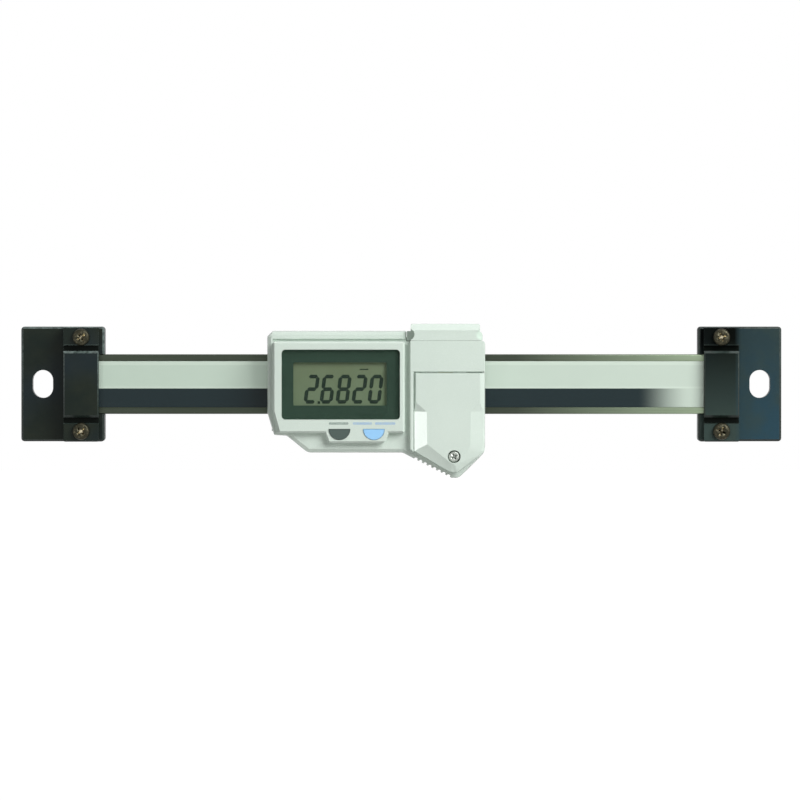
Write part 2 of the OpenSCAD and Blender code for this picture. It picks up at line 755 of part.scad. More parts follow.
board_outline = [
    [left + 3.7, screw_row - 1.45], [right - 2.3, screw_row - 1.45],
    [right - 2.3, 1.45 - screw_row], [right - 4.6, 1.45 - screw_row],
    [right - 4.6, connector_foot], [key_x[1] + key_side - 0.3, connector_foot],
    [key_x[1] + key_side - 0.3, -key_floor + 0.2], [key_x[0] - key_side + 0.3, -key_floor + 0.2],
    [key_x[0] - key_side + 0.3, 1.45 - screw_row], [left + 3.7, 1.45 - screw_row]
];

module main_board() {
    color("#2f6b3c") at_slider() slab(board_back, board_front) polygon(board_outline);
}

module measuring_chip() {
    color("#1d1d1f") at_slider() translate([view_x, -board_front, 0]) rotate([90, 0, 0])
        cylinder(d1 = 8, d2 = 5.5, h = 1.2);
}

// Frame that holds the display glass and the two contact strips on the main board
module lcd_holder() {
    outer = [lcd_w + 2 * (holder_wall + bond_gap), lcd_h + 2 * (holder_wall + bond_gap)];
    color("#e4e6e2") at_slider() slab(board_front, lcd_front) difference() {
        translate([view_x, 0]) square(outer, center = true);
        translate([view_x, 0]) square([lcd_w + 2 * bond_gap, lcd_h + 2 * bond_gap], center = true);
    }
}

module lcd_glass() {
    color("#8a9678") at_slider() {
        slab(lcd_front - lcd_glass_t, lcd_front)
            translate([view_x, 0]) square([lcd_w, lcd_h], center = true);
        slab(lcd_front - 2 * lcd_glass_t, lcd_front - lcd_glass_t)
            translate([view_x, 0]) square([lcd_w, lcd_h - 2 * zebra_t - 0.6], center = true);
    }
}

module zebra_strips() {
    color("#4c4c50") at_slider() for (side = [-1, 1])
        slab(board_front, lcd_front - lcd_glass_t)
            translate([view_x, side * (lcd_h - zebra_t) / 2]) square([lcd_w - 2, zebra_t], center = true);
}

// Half-moon with its flat side up
module half_moon(r) {
    difference() {
        circle(r = r);
        translate([-r - over, 0]) square([2 * (r + over), r + over]);
    }
}

// Rubber sheet with a post behind each key
module keypad() {
    color("#c9c9c4") at_slider() {
        slab(board_front, board_front + 0.6)
            translate([key_x[0] - key_side + 0.4, -key_floor + 0.3])
                square([key_pitch + 2 * key_side - 0.8, key_floor - key_top + 1.9]);
        for (x = key_x)
            translate([x, -board_front, -key_top - post_drop]) rotate([90, 0, 0])
                cylinder(r1 = 1.7, r2 = 1.2, h = key_back - 0.1 - key_travel - board_front);
    }
}

// A half-moon key with a collar that keeps it behind the face
module key(x) {
    at_slider() translate([x, 0, -key_top]) {
        slab(key_back, face_front + key_proud) half_moon(key_r);
        slab(key_back, key_ceiling - slip_gap) translate([-key_r - 0.5, -key_r])
            square([2 * key_r + 1, key_r + 0.5]);
    }
}

module origin_button() { color("#3b4a47") key(key_x[0]); }
module zero_button() { color("#96cdfa") key(key_x[1]); }

// ---- Housing ----

module case_gasket() {
    color("#2a2a2a") at_slider() slab(flange_front, case_back) difference() {
        polygon(ring(case_outline, case_radii, frame_in));
        polygon(ring(case_outline, case_radii, frame_in + gasket_w));
        for (at = case_screws_at) translate(at) circle(d = case_screw_d + 2 * bond_gap);
    }
}

// Battery bay: a slot with a round bottom, open at the top under the cap
module cell_bay(r, top) {
    translate([cell_x, cell_z]) circle(r = r);
    translate([cell_x - r, cell_z]) square([2 * r, top - cell_z]);
}

module front_case() {
    grip_start = [division - 1.2, -body_bottom];
    grip_end = [right - 9, -tip_depth];
    grip_way = unit(grip_end - grip_start);
    grip_first = norm(grip_end - grip_start) - (grip_count - 0.3) * grip_pitch;
    color("#d2dfd5") at_slider() difference() {
        union() {
            difference() {
                slab(case_back, base_front) polygon(rounded(case_outline, case_radii));
                bevel_edges(case_outline, base_front, 1, 0.6);
                bevel_edges(case_outline, base_front, 0.35, 1.4);
                slab(base_front - shadow_depth, base_front + over)
                    translate([face_outline[0].x, face_outline[0].y])
                        square([division - face_outline[0].x + over, shadow_w]);
            }
            difference() {
                slab(base_front - 1, face_front) polygon(rounded(face_outline, face_radii));
                bevel_edges(face_outline, face_front, 0.5, 0.5);
            }
            difference() {
                slab(base_front - 1, face_front) polygon(rounded(panel_outline, panel_radii));
                bevel_edges(panel_outline, face_front, 0.25, 0.3, [0]);
            }
            slab(base_front - 1, cover_back) polygon(cover_outline);
        }
        // Window and its ledge
        slab(face_front - window_t, face_front + over) polygon(rounded(window_box(bond_gap), [1, 1, 1, 1]));
        slab(bay_front - over, face_front) translate([view_x, 0])
            square([view_w + 0.8, view_h + 0.8], center = true);
        // Bays for the display holder, the keys, the main board
        slab(case_back - over, bay_front) translate([view_x, 0])
            square([lcd_w + 2 * (holder_wall + bond_gap + slip_gap),
                lcd_h + 2 * (holder_wall + bond_gap + slip_gap)], center = true);
        slab(case_back - over, key_ceiling)
            translate([key_x[0] - key_side, -key_floor])
                square([key_pitch + 2 * key_side, key_floor - key_top + 2.7]);
        slab(case_back - over, board_front + slip_gap) polygon(inset(board_outline, -slip_gap));
        for (x = key_x)
            slab(key_ceiling - over, face_front + over) translate([x, -key_top]) half_moon_hole();
        // Bay for the button cell and its contact
        slab(board_front, cell_bay_front) {
            cell_bay(bay_r, cap_seat + over);
            translate([cell_x - contact_w / 2 - slip_gap, cell_z - bay_r - 0.5])
                square([contact_w + 2 * slip_gap, 2]);
        }
        // Gasket groove and pocket for the output connector
        slab(cover_back - groove_depth, cover_back + over)
            connector_ring(groove_w + bond_gap, -bond_gap);
        slab(board_front, cover_back + over) connector_box(0);
        rod(cover_screw_at, cover_screw_d / 2 + thread_gap,
            cover_screw_seat - cover_screw_l - 0.5, cover_back + over);
        for (at = case_screws_at)
            rod(at, case_screw_d / 2 + thread_gap, case_back - over, plate_front + recess + case_screw_l + 0.5);
        // Thumb grip
        for (i = [0 : grip_count - 1])
            rod(grip_start + grip_way * (grip_first + i * grip_pitch) - right_of(grip_way) * 0.1,
                grip_r, case_back - over, base_front + over);
    }
}

// Corners of the window, grown by some width
function window_box(grow) =
    let (x = window_w / 2 + grow, z = window_h / 2 + grow)
    [[window_x - x, z], [window_x + x, z], [window_x + x, -z], [window_x - x, -z]];

// The key's hole in the face, with room round the key
module half_moon_hole() {
    difference() {
        circle(r = key_r + slip_gap);
        translate([-key_r - over, slip_gap]) square([2 * (key_r + over), key_r + over]);
    }
}

// The connector's pocket, grown by some width
module connector_box(grow) {
    translate(connector_at) square([
        connector_w + 2 * (socket_gap + grow), connector_h + 2 * (socket_gap + grow)], center = true);
}

// A ring round that pocket, between two widths counted from the wall that the ring stands on
module connector_ring(outer, inner) {
    difference() {
        connector_box(socket_wall + outer);
        connector_box(socket_wall + inner);
    }
}

module case_screws() {
    color("#8f9491") at_slider() for (at = case_screws_at)
        translate([at.x, -plate_front - recess, at.y]) rotate([-90, 0, 0])
            pan_screw(case_screw_d, case_screw_d * 1.6, recess - 0.15, case_screw_l);
}

module display_window() {
    color("#3a4640") at_slider()
        slab(face_front - window_t, face_front) polygon(rounded(window_box(0), [0.95, 0.95, 0.95, 0.95]));
}

// ---- Connector cover and connector ----

module connector_cover() {
    color("#d6e0d6") at_slider() difference() {
        union() {
            slab(cover_back, cover_back + cover_rim) polygon(cover_outline);
            loft(cover_outline, crown_outline, crown_near, crown_faces, cover_back + cover_rim,
                cover_face);
        }
        rod(cover_screw_at, cover_screw_d / 2 + bond_gap, cover_back - over, cover_face + over);
        rod(cover_screw_at, cover_screw_d * 0.85, cover_screw_seat, cover_face + over);
    }
}

module cover_screw() {
    color("#9ba19c") at_slider()
        translate([cover_screw_at.x, -cover_screw_seat, cover_screw_at.y]) rotate([90, 0, 0])
            pan_screw(cover_screw_d, cover_screw_d * 1.6, 1, cover_screw_l);
}

module cover_gasket() {
    color("#2a2a2a") at_slider() slab(cover_back - groove_depth, cover_back)
        connector_ring(groove_w, 0);
}

module output_connector() {
    size = [connector_w, connector_h];
    color("#26282a") at_slider() translate([connector_at.x, 0, connector_at.y]) {
        slab(board_front, cover_back - 0.5) difference() {
            square(size, center = true);
            square(size - [1.6, 1.6], center = true);
        }
        slab(board_front, board_front + 1) square(size - [1, 1], center = true);
        for (i = [-2 : 2])
            translate([i * 1.9, -board_front - 1, 0]) rotate([90, 0, 0])
                translate([-0.3, -0.3, -0.5]) cube([0.6, 0.6, 3.5]);
    }
}

// ---- Battery ----

// Cap that plugs the battery bay, with a finger scallop on each side
module battery_cap() {
    seat = cap_seat + seat_gap;
    shoulder = body_top - 0.05;
    color("#d2dfd5") at_slider() difference() {
        union() {
            intersection() {
                slab(case_back, face_front) polygon(rounded(
                    [[cap_left, cap_top], [cap_right, cap_top], [cap_right, seat], [cap_left, seat]],
                    [0.5, 0.5, 0.2, 0.2]));
                along_x(cap_left - over, cap_right + over) polygon([
                    [-case_back, seat], [-case_back, cap_top - 0.6], [-case_back - 0.6, cap_top],
                    [1.4 - face_front, cap_top], [-face_front, cap_top - 1.7], [-face_front, seat]]);
            }
            slab(case_back, base_front - 1.2) polygon(rounded(
                [[division - 0.2 + slip_gap, shoulder], [cap_right + 0.7, shoulder],
                    [cap_right + 0.7, seat], [division - 0.2 + slip_gap, seat]], [0.3, 1.2, 0.3, 0.3]));
            along_z(seat - plug_depth, seat + over) cap_plug(plug_gap);
        }
        for (x = [cap_left - 0.5, cap_right + 0.5])
            rod([x, cap_seat + 1.7], 1.5, base_front - 1.2, face_front + over);
    }
}

// Plan of the cap's plug, so far inside the walls of the battery bay
module cap_plug(gap) {
    translate([cell_x - bay_r + gap, gap - cell_bay_front])
        square([2 * (bay_r - gap), cell_bay_front - board_front - 2 * gap]);
}

// Rubber ring round the cap's plug, below the seat
module battery_seal() {
    color("#2a2a2a") at_slider() along_z(cap_seat - 0.2 - seal_h, cap_seat - 0.2) difference() {
        cap_plug(bond_gap);
        cap_plug(plug_gap - bond_gap);
    }
}

module battery() {
    color("#c8ccd0") at_slider() {
        rod([cell_x, cell_z], cell_d / 2 - 0.7, cell_back, cell_front);
        rod([cell_x, cell_z], cell_d / 2, cell_back + 0.5, cell_front);
    }
}

// One strip under the cell and one bent over its front
module battery_contacts() {
    front = cell_front + bond_gap;
    foot = cell_z - bay_r - 0.4;
    color("#c9a24a") at_slider() {
        slab(board_front, board_front + contact_t)
            translate([cell_x - contact_w / 2, cell_z - contact_l / 2]) square([contact_w, contact_l]);
        slab(board_front, front + contact_t)
            translate([cell_x - contact_w / 2, foot]) square([contact_w, contact_t]);
        slab(front, front + contact_t)
            translate([cell_x - contact_w / 2, foot]) square([contact_w, contact_l]);
    }
}

beam();
scale_board();
scale_film();
left_bracket();
right_bracket();
left_clamp();
right_clamp();
left_clamp_screws();
right_clamp_screws();
slider_frame();
gib_strip();
gib_screws();
wiper_strips();
back_plate();
back_plate_screws();
reader_board();
reader_connector();
main_board();
measuring_chip();
lcd_holder();
lcd_glass();
zebra_strips();
keypad();
origin_button();
zero_button();
case_gasket();
front_case();
case_screws();
display_window();
connector_cover();
cover_screw();
cover_gasket();
output_connector();
battery_cap();
battery_seal();
battery();
battery_contacts();
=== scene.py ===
# Absolute linear scale unit: a steel beam with a bonded scale between two slotted end brackets,
# and a slider with a number display, two keys, a battery and a covered output connector.
import bmesh
import bpy
import math
from mathutils import Matrix, Vector


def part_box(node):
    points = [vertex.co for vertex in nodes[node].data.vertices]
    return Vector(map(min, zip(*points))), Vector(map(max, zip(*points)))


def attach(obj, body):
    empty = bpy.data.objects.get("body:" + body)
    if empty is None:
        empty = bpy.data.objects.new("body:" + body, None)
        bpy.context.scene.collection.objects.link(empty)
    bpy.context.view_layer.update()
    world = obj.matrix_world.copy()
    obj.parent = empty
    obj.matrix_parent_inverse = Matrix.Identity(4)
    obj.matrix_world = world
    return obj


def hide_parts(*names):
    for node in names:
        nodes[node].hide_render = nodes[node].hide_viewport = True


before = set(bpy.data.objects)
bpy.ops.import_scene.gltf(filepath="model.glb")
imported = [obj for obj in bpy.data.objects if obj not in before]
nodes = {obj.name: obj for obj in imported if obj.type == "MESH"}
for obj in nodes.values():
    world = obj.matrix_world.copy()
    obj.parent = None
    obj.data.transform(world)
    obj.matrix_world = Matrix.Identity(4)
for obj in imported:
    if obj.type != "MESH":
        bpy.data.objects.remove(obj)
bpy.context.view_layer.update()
MM = 0.001

# ---------------------------------------------------------------------------------------------
# Beam
# A flat bar of ground tool steel, oiled and left bare. Grinding runs along its length, so it
# shows fine lengthwise lines and a stretched, soft shine. Its ends are clamped in the brackets.


def colour(hex_code):
    """A colour written as on a paint card, as Blender's linear red, green, blue, alpha."""
    parts = [int(hex_code[i:i + 2], 16) / 255 for i in (0, 2, 4)]
    return [c / 12.92 if c < 0.04045 else ((c + 0.055) / 1.055) ** 2.4 for c in parts] + [1.0]


def feed(node, inputs):
    """Sets a node's inputs: each is a value, a socket, or a node, for its first output in use."""
    for key, value in inputs.items():
        socket = next(s for i, s in enumerate(node.inputs)
                      if key == i or s.enabled and key == s.name)
        if isinstance(value, bpy.types.Node):
            value = next(s for s in value.outputs if s.enabled)
        if isinstance(value, bpy.types.NodeSocket):
            node.id_data.links.new(value, socket)
        else:
            socket.default_value = value


def add(tree, kind, inputs=(), **settings):
    """Adds a node with its settings and inputs."""
    new = tree.nodes.new(kind)
    for key, value in settings.items():
        setattr(new, key, value)
    feed(new, dict(inputs))
    return new


def start_material(name):
    """An empty material, its tree, its surface shader and its object coordinates."""
    made = bpy.data.materials.new(name)
    made.use_nodes = True
    tree = made.node_tree
    shader = tree.nodes["Principled BSDF"]
    place = add(tree, "ShaderNodeTexCoord").outputs["Object"]
    return made, tree, shader, place


def put(name, data):
    """A new object in the scene, at the origin."""
    made = bpy.data.objects.new(name, data)
    bpy.context.collection.objects.link(made)
    return made


def shape(work, name):
    """Turns finished mesh work into a mesh."""
    mesh = bpy.data.meshes.new(name)
    work.to_mesh(mesh)
    work.free()
    return mesh


def eased(node, width=0.0, corner=30, segments=2, edge_material=0):
    """A closed copy of a CAD node with eased edges; they and chamfers get the edge material."""
    mesh = nodes[node].data.copy()
    mesh.materials.clear()
    piece = put(node + "_finished", mesh)
    # The node's loose triangles are welded, and its flat sides become whole faces
    work = bmesh.new()
    work.from_mesh(mesh)
    bmesh.ops.remove_doubles(work, verts=work.verts, dist=2e-6)
    bmesh.ops.dissolve_limit(work, angle_limit=math.radians(1), verts=work.verts, edges=work.edges)
    # Chamfers face forwards at 18 to 72 degrees
    for face in work.faces:
        if 0.3 < -face.normal.y < 0.95:
            face.material_index = edge_material
    if width:
        sharp = [e for e in work.edges if len(e.link_faces) == 2
                 and e.calc_face_angle(0) > math.radians(corner)
                 and e.calc_length() > 1.2 * width * MM]
        bmesh.ops.bevel(work, geom=sharp, offset=width * MM, segments=segments, profile=0.5,
                        affect="EDGES", clamp_overlap=True, material=edge_material)
    for face in work.faces:
        face.smooth = True
    for edge in work.edges:
        edge.smooth = len(edge.link_faces) == 2 and edge.calc_face_angle(0) < math.radians(corner)
    work.to_mesh(mesh)
    work.free()
    flats = piece.modifiers.new("flats", "WEIGHTED_NORMAL")
    flats.keep_sharp, flats.weight = True, 100
    return piece


def finish_node(node, made, body, slot, width=0.0, **how):
    """Stands an eased copy in for a CAD node, with its material."""
    piece = eased(node, width, **how)
    for each in made if isinstance(made, tuple) else (made,):
        piece.data.materials.append(each)
    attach(piece, body)
    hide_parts(node)


def coat_node(node, made):
    """Gives a CAD node's own mesh a material."""
    nodes[node].data.materials.clear()
    nodes[node].data.materials.append(made)


ground_steel, tree, shader, place = start_material("ground_tool_steel")
# Grinding lines: about 0.3 mm apart across the beam and 25 mm long, coarser than real so they show
stretched = add(tree, "ShaderNodeMapping", {"Vector": place, "Scale": (40, 3000, 3300)})
lines = add(tree, "ShaderNodeTexNoise", {"Vector": stretched, "Scale": 1.0, "Detail": 3.0})
# Faint oil film, in patches about 20 mm across
patches = add(tree, "ShaderNodeTexNoise", {"Vector": place, "Scale": 50.0, "Detail": 2.0})
# The front is painted with a reflection, dark at the left and paler towards the right end
axes = add(tree, "ShaderNodeSeparateXYZ", {"Vector": place})
beam_reflection_rightwards = add(tree, "ShaderNodeMapRange", {"Value": axes.outputs["X"],
                                         "From Min": 127 * MM, "From Max": 176 * MM})
painted_reflection_front = add(tree, "ShaderNodeMix", {"Factor": beam_reflection_rightwards, "A": colour("454b43"), "B": colour("929f8b")},
            data_type="RGBA")
beam_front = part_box("beam")[0][1]
behind = add(tree, "ShaderNodeMapRange", {"Value": axes.outputs["Y"],
                                          "From Min": beam_front + 0.2 * MM,
                                          "From Max": beam_front + 0.5 * MM})
steel = add(tree, "ShaderNodeMix", {"Factor": behind, "A": painted_reflection_front, "B": colour("7b807a")},
            data_type="RGBA")
streaked = add(tree, "ShaderNodeMix", {"Factor": lines, "A": steel, "B": colour("8a9184")},
               data_type="RGBA", blend_type="SOFT_LIGHT")
shine = add(tree, "ShaderNodeMapRange", {"Value": patches, "To Min": 0.26, "To Max": 0.42})
relief = add(tree, "ShaderNodeBump", {"Height": lines, "Strength": 0.25, "Distance": 0.02 * MM})
feed(shader, {"Base Color": streaked, "Metallic": 1.0, "Roughness": shine, "Normal": relief})
finish_node("beam", ground_steel, "rail", "beam_steel", 0.12)

# ---------------------------------------------------------------------------------------------
# Scale board and film
# The measuring scale is a glass-epoxy board bonded in the beam's channel. A silver and black
# printed polyester film covers it; the black band thins out into dots near the right end.


def mottled(name, scale, detail, deep, pale, finish):
    """A material that drifts between two tones, at a scale in spots to the metre, and its finish."""
    made, tree, shader, place = start_material(name)
    drift = add(tree, "ShaderNodeTexNoise", {"Vector": place, "Scale": scale, "Detail": detail})
    tone = add(tree, "ShaderNodeMix", {"Factor": drift, "A": colour(deep), "B": colour(pale)},
               data_type="RGBA")
    feed(shader, {"Base Color": tone, **finish})
    return made


# Woven glass, about 0.4 mm, shows through the resin
scale_laminate = mottled("glass_epoxy_laminate", 2500.0, 2.0, "33603c", "44764f",
                         {"Roughness": 0.45})
coat_node("scale_board", scale_laminate)

film_print, tree, shader, place = start_material("printed_polyester_film")
axes = add(tree, "ShaderNodeSeparateXYZ", {"Vector": place})
# The silver print is painted paler towards the right end, as a reflection
film_reflection_rightwards = add(tree, "ShaderNodeMapRange", {"Value": axes.outputs["X"],
                                          "From Min": 20 * MM, "From Max": 170 * MM})
ink = add(tree, "ShaderNodeMix", {"Factor": film_reflection_rightwards, "A": colour("b8c9bb"), "B": colour("bfcdc1")},
          data_type="RGBA")
# A bare strip 1 mm wide is left along the top edge and 0.5 mm above the black band
for low, high in ((5.1, 6.4), (-1.15, -0.65)):
    above = add(tree, "ShaderNodeMapRange", {"Value": axes.outputs["Z"],
                                             "From Min": (low - 0.1) * MM,
                                             "From Max": (low + 0.1) * MM})
    below = add(tree, "ShaderNodeMapRange", {"Value": axes.outputs["Z"],
                                             "From Min": (high - 0.1) * MM,
                                             "From Max": (high + 0.1) * MM,
                                             "To Min": 1.0, "To Max": 0.0})
    strip = add(tree, "ShaderNodeMath", {0: above, 1: below}, operation="MULTIPLY")
    soft = add(tree, "ShaderNodeMath", {0: strip, 1: 0.3}, operation="MULTIPLY")
    ink = add(tree, "ShaderNodeMix", {"Factor": soft, "A": ink, "B": colour("d8e4d8")},
              data_type="RGBA")
band_top = add(tree, "ShaderNodeMapRange", {"Value": axes.outputs["Z"],
                                            "From Min": -1.25 * MM, "From Max": -1.05 * MM,
                                            "To Min": 1.0, "To Max": 0.0})
band_end = add(tree, "ShaderNodeMapRange", {"Value": axes.outputs["X"],
                                            "From Min": 159.5 * MM, "From Max": 174.5 * MM,
                                            "To Min": 1.0, "To Max": 0.0},
               interpolation_type="SMOOTHSTEP")
band = add(tree, "ShaderNodeMath", {0: band_top, 1: band_end}, operation="MULTIPLY")
film = add(tree, "ShaderNodeMix", {"Factor": band, "A": ink, "B": colour("172629")},
           data_type="RGBA")
# Silver flakes give the light part a soft metal shine; black ink has none
flake = add(tree, "ShaderNodeMapRange", {"Value": band, "To Min": 0.35, "To Max": 0.0})
orange_peel = add(tree, "ShaderNodeTexNoise", {"Vector": place, "Scale": 900.0, "Detail": 1.0})
satin = add(tree, "ShaderNodeMapRange", {"Value": orange_peel, "To Min": 0.28, "To Max": 0.36})
peel = add(tree, "ShaderNodeBump", {"Height": orange_peel, "Strength": 0.05, "Distance": 0.02 * MM})
feed(shader, {"Base Color": film, "Metallic": flake, "Roughness": satin, "Specular IOR Level": 0.2,
              "Normal": peel})
finish_node("scale_film", film_print, "rail", "scale_film")

# ---------------------------------------------------------------------------------------------
# End brackets and clamps
# Steel blocks under black oxide: satin, near black, with a green cast; the front of the right-hand
# plate is painted bluer, as a reflection. A slotted plate screws down, and a clamp cap presses the
# beam into a pocket.

black_oxide, tree, shader, place = start_material("black_oxide_steel")
axes = add(tree, "ShaderNodeSeparateXYZ", {"Vector": place})
upwards = add(tree, "ShaderNodeMapRange", {"Value": axes.outputs["Z"],
                                           "From Min": -12 * MM, "From Max": 12 * MM})
# The right bracket and clamp have fewer clouds, and are blacker towards the top and greyer towards
# the bottom
right_start, right_clamp_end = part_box("right_bracket")[0][0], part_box("right_clamp")[1][0]
right_side = add(tree, "ShaderNodeMapRange", {"Value": axes.outputs["X"],
                                              "From Min": right_start - 5.8 * MM,
                                              "From Max": right_start - 3.8 * MM})
blacker_upwards = add(tree, "ShaderNodeMix", {"Factor": upwards, "A": colour("303f3b"), "B": colour("040605")},
           data_type="RGBA")
black = add(tree, "ShaderNodeMix", {"Factor": right_side, "A": colour("0f1a15"), "B": blacker_upwards},
            data_type="RGBA")
cloudiness = add(tree, "ShaderNodeMapRange", {"Value": right_side, "To Min": 0.7, "To Max": 0.12})
# The bath leaves clouds about 8 mm across, brown-green in some places and blue-black in others
cloud = add(tree, "ShaderNodeTexNoise", {"Vector": place, "Scale": 120.0, "Detail": 3.0,
                                         "Roughness": 0.6})
cloudy = add(tree, "ShaderNodeMapRange", {"Value": cloud, "From Min": 0.35, "From Max": 0.75,
                                          "To Max": cloudiness})
brown = add(tree, "ShaderNodeMix", {"Factor": cloudy, "A": black, "B": colour("252a1f")},
            data_type="RGBA")
drift = add(tree, "ShaderNodeTexNoise", {"Vector": place, "Scale": 70.0, "Detail": 1.0})
bluish = add(tree, "ShaderNodeMapRange", {"Value": drift, "From Min": 0.45, "From Max": 0.7,
                                          "To Max": cloudiness})
smoky = add(tree, "ShaderNodeMix", {"Factor": bluish, "A": brown, "B": colour("15222a")},
            data_type="RGBA")
# The front of the right-hand plate is painted blue as a reflection, with olive clouds
rightmost = add(tree, "ShaderNodeMapRange", {"Value": axes.outputs["X"],
                                             "From Min": right_clamp_end - 1.2 * MM,
                                             "From Max": right_clamp_end + 0.8 * MM})
in_front = add(tree, "ShaderNodeMapRange", {"Value": axes.outputs["Y"],
                                            "From Min": -0.5 * MM, "From Max": -4 * MM})
blue_reflection_mask = add(tree, "ShaderNodeMath", {0: rightmost, 1: in_front}, operation="MULTIPLY")
painted_blue_reflection = add(tree, "ShaderNodeMix", {"Factor": upwards, "A": colour("223e4a"),
                                    "B": colour("223539")}, data_type="RGBA")
olive = add(tree, "ShaderNodeMapRange", {"Value": cloud, "From Min": 0.45, "From Max": 0.7,
                                         "To Max": 0.45})
blue_reflection_clouded = add(tree, "ShaderNodeMix", {"Factor": olive, "A": painted_blue_reflection, "B": colour("2f3c33")},
                  data_type="RGBA")
clouded = add(tree, "ShaderNodeMix", {"Factor": blue_reflection_mask, "A": smoky, "B": blue_reflection_clouded},
              data_type="RGBA")
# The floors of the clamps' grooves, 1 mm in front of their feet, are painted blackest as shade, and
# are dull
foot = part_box("left_clamp")[1][1]
past_foot = add(tree, "ShaderNodeMapRange", {"Value": axes.outputs["Y"],
                                             "From Min": foot - 0.1 * MM,
                                             "From Max": foot - 0.3 * MM})
below_ears = add(tree, "ShaderNodeMapRange", {"Value": axes.outputs["Y"],
                                              "From Min": foot - 1.8 * MM,
                                              "From Max": foot - 1.2 * MM})
groove_shade_mask = add(tree, "ShaderNodeMath", {0: past_foot, 1: below_ears}, operation="MULTIPLY")
groove_shaded = add(tree, "ShaderNodeMix", {"Factor": groove_shade_mask, "A": clouded, "B": colour("0c110e")},
              data_type="RGBA")
# Blasted grain, about 0.15 mm
grain = add(tree, "ShaderNodeTexNoise", {"Vector": place, "Scale": 6500.0, "Detail": 1.0})
relief = add(tree, "ShaderNodeBump", {"Height": grain, "Strength": 0.12, "Distance": 0.03 * MM})
satin = add(tree, "ShaderNodeMapRange", {"Value": cloud, "To Min": 0.34, "To Max": 0.46})
# The upper half of the right clamp is duller
clamp_side = add(tree, "ShaderNodeMath", {0: right_side, 1: rightmost}, operation="SUBTRACT")
dull = add(tree, "ShaderNodeMath", {0: clamp_side, 1: upwards}, operation="MULTIPLY")
shine = add(tree, "ShaderNodeMapRange", {"Value": dull, "To Min": 0.14, "To Max": 0.02})
kept = add(tree, "ShaderNodeMapRange", {"Value": groove_shade_mask, "To Min": 1.0, "To Max": 0.3})
gloss = add(tree, "ShaderNodeMath", {0: shine, 1: kept}, operation="MULTIPLY")
feed(shader, {"Base Color": groove_shaded, "Normal": relief, "Roughness": satin,
              "Specular IOR Level": gloss})

# Handling rubs the oxide thin along the edges in patches; the upper edges are painted lighter as a
# highlight, most at the left
worn_and_highlit_edge, tree, shader, place = start_material("worn_and_highlit_black_oxide_edge")
rub = add(tree, "ShaderNodeTexNoise", {"Vector": place, "Scale": 900.0, "Detail": 3.0})
thin = add(tree, "ShaderNodeMapRange", {"Value": rub, "From Min": 0.35, "From Max": 0.65,
                                        "To Min": 0.3})
axes = add(tree, "ShaderNodeSeparateXYZ", {"Vector": place})
upper = add(tree, "ShaderNodeMapRange", {"Value": axes.outputs["Z"],
                                         "From Min": -7 * MM, "From Max": 7 * MM, "To Min": 0.1})
leftward = add(tree, "ShaderNodeMapRange", {"Value": axes.outputs["X"],
                                            "From Min": right_start - 5.8 * MM,
                                            "From Max": right_start - 3.8 * MM,
                                            "To Min": 1.0, "To Max": 0.25})
painted_upper_left_highlight = add(tree, "ShaderNodeMath", {0: upper, 1: leftward}, operation="MULTIPLY")
worn = add(tree, "ShaderNodeMath", {0: thin, 1: painted_upper_left_highlight}, operation="MULTIPLY")
tone = add(tree, "ShaderNodeMix", {"Factor": worn, "A": colour("1a2420"), "B": colour("65736f")},
           data_type="RGBA")
feed(shader, {"Base Color": tone, "Roughness": 0.3, "Specular IOR Level": 0.3})
for part in ("left_bracket", "right_bracket"):
    finish_node(part, (black_oxide, worn_and_highlit_edge), "rail", "black_metal", 0.2, edge_material=1)
for part in ("left_clamp", "right_clamp"):
    finish_node(part, (black_oxide, worn_and_highlit_edge), "rail", "black_metal", 0.15, edge_material=1)

# ---------------------------------------------------------------------------------------------
# Clamp screws
# Four M2.5 pan-head steel screws with a cross recess, blackened. The driver has worn the black
# off the recess's edges, where warm grey steel shows.


def head_profile(radius, height, edge):
    """Half the outline of a pan head, from the middle of its top out and down to its underside."""
    points = [(0.0, height)]
    for i in range(1, 7):
        turn = math.radians(15 * i)
        points.append((radius - edge + edge * math.sin(turn), height - edge + edge * math.cos(turn)))
    crown = 0.12 * height
    points = [(r, z + crown * (1 - (r / radius) ** 2) - crown) for r, z in points]
    return points + [(radius, 0.0)]


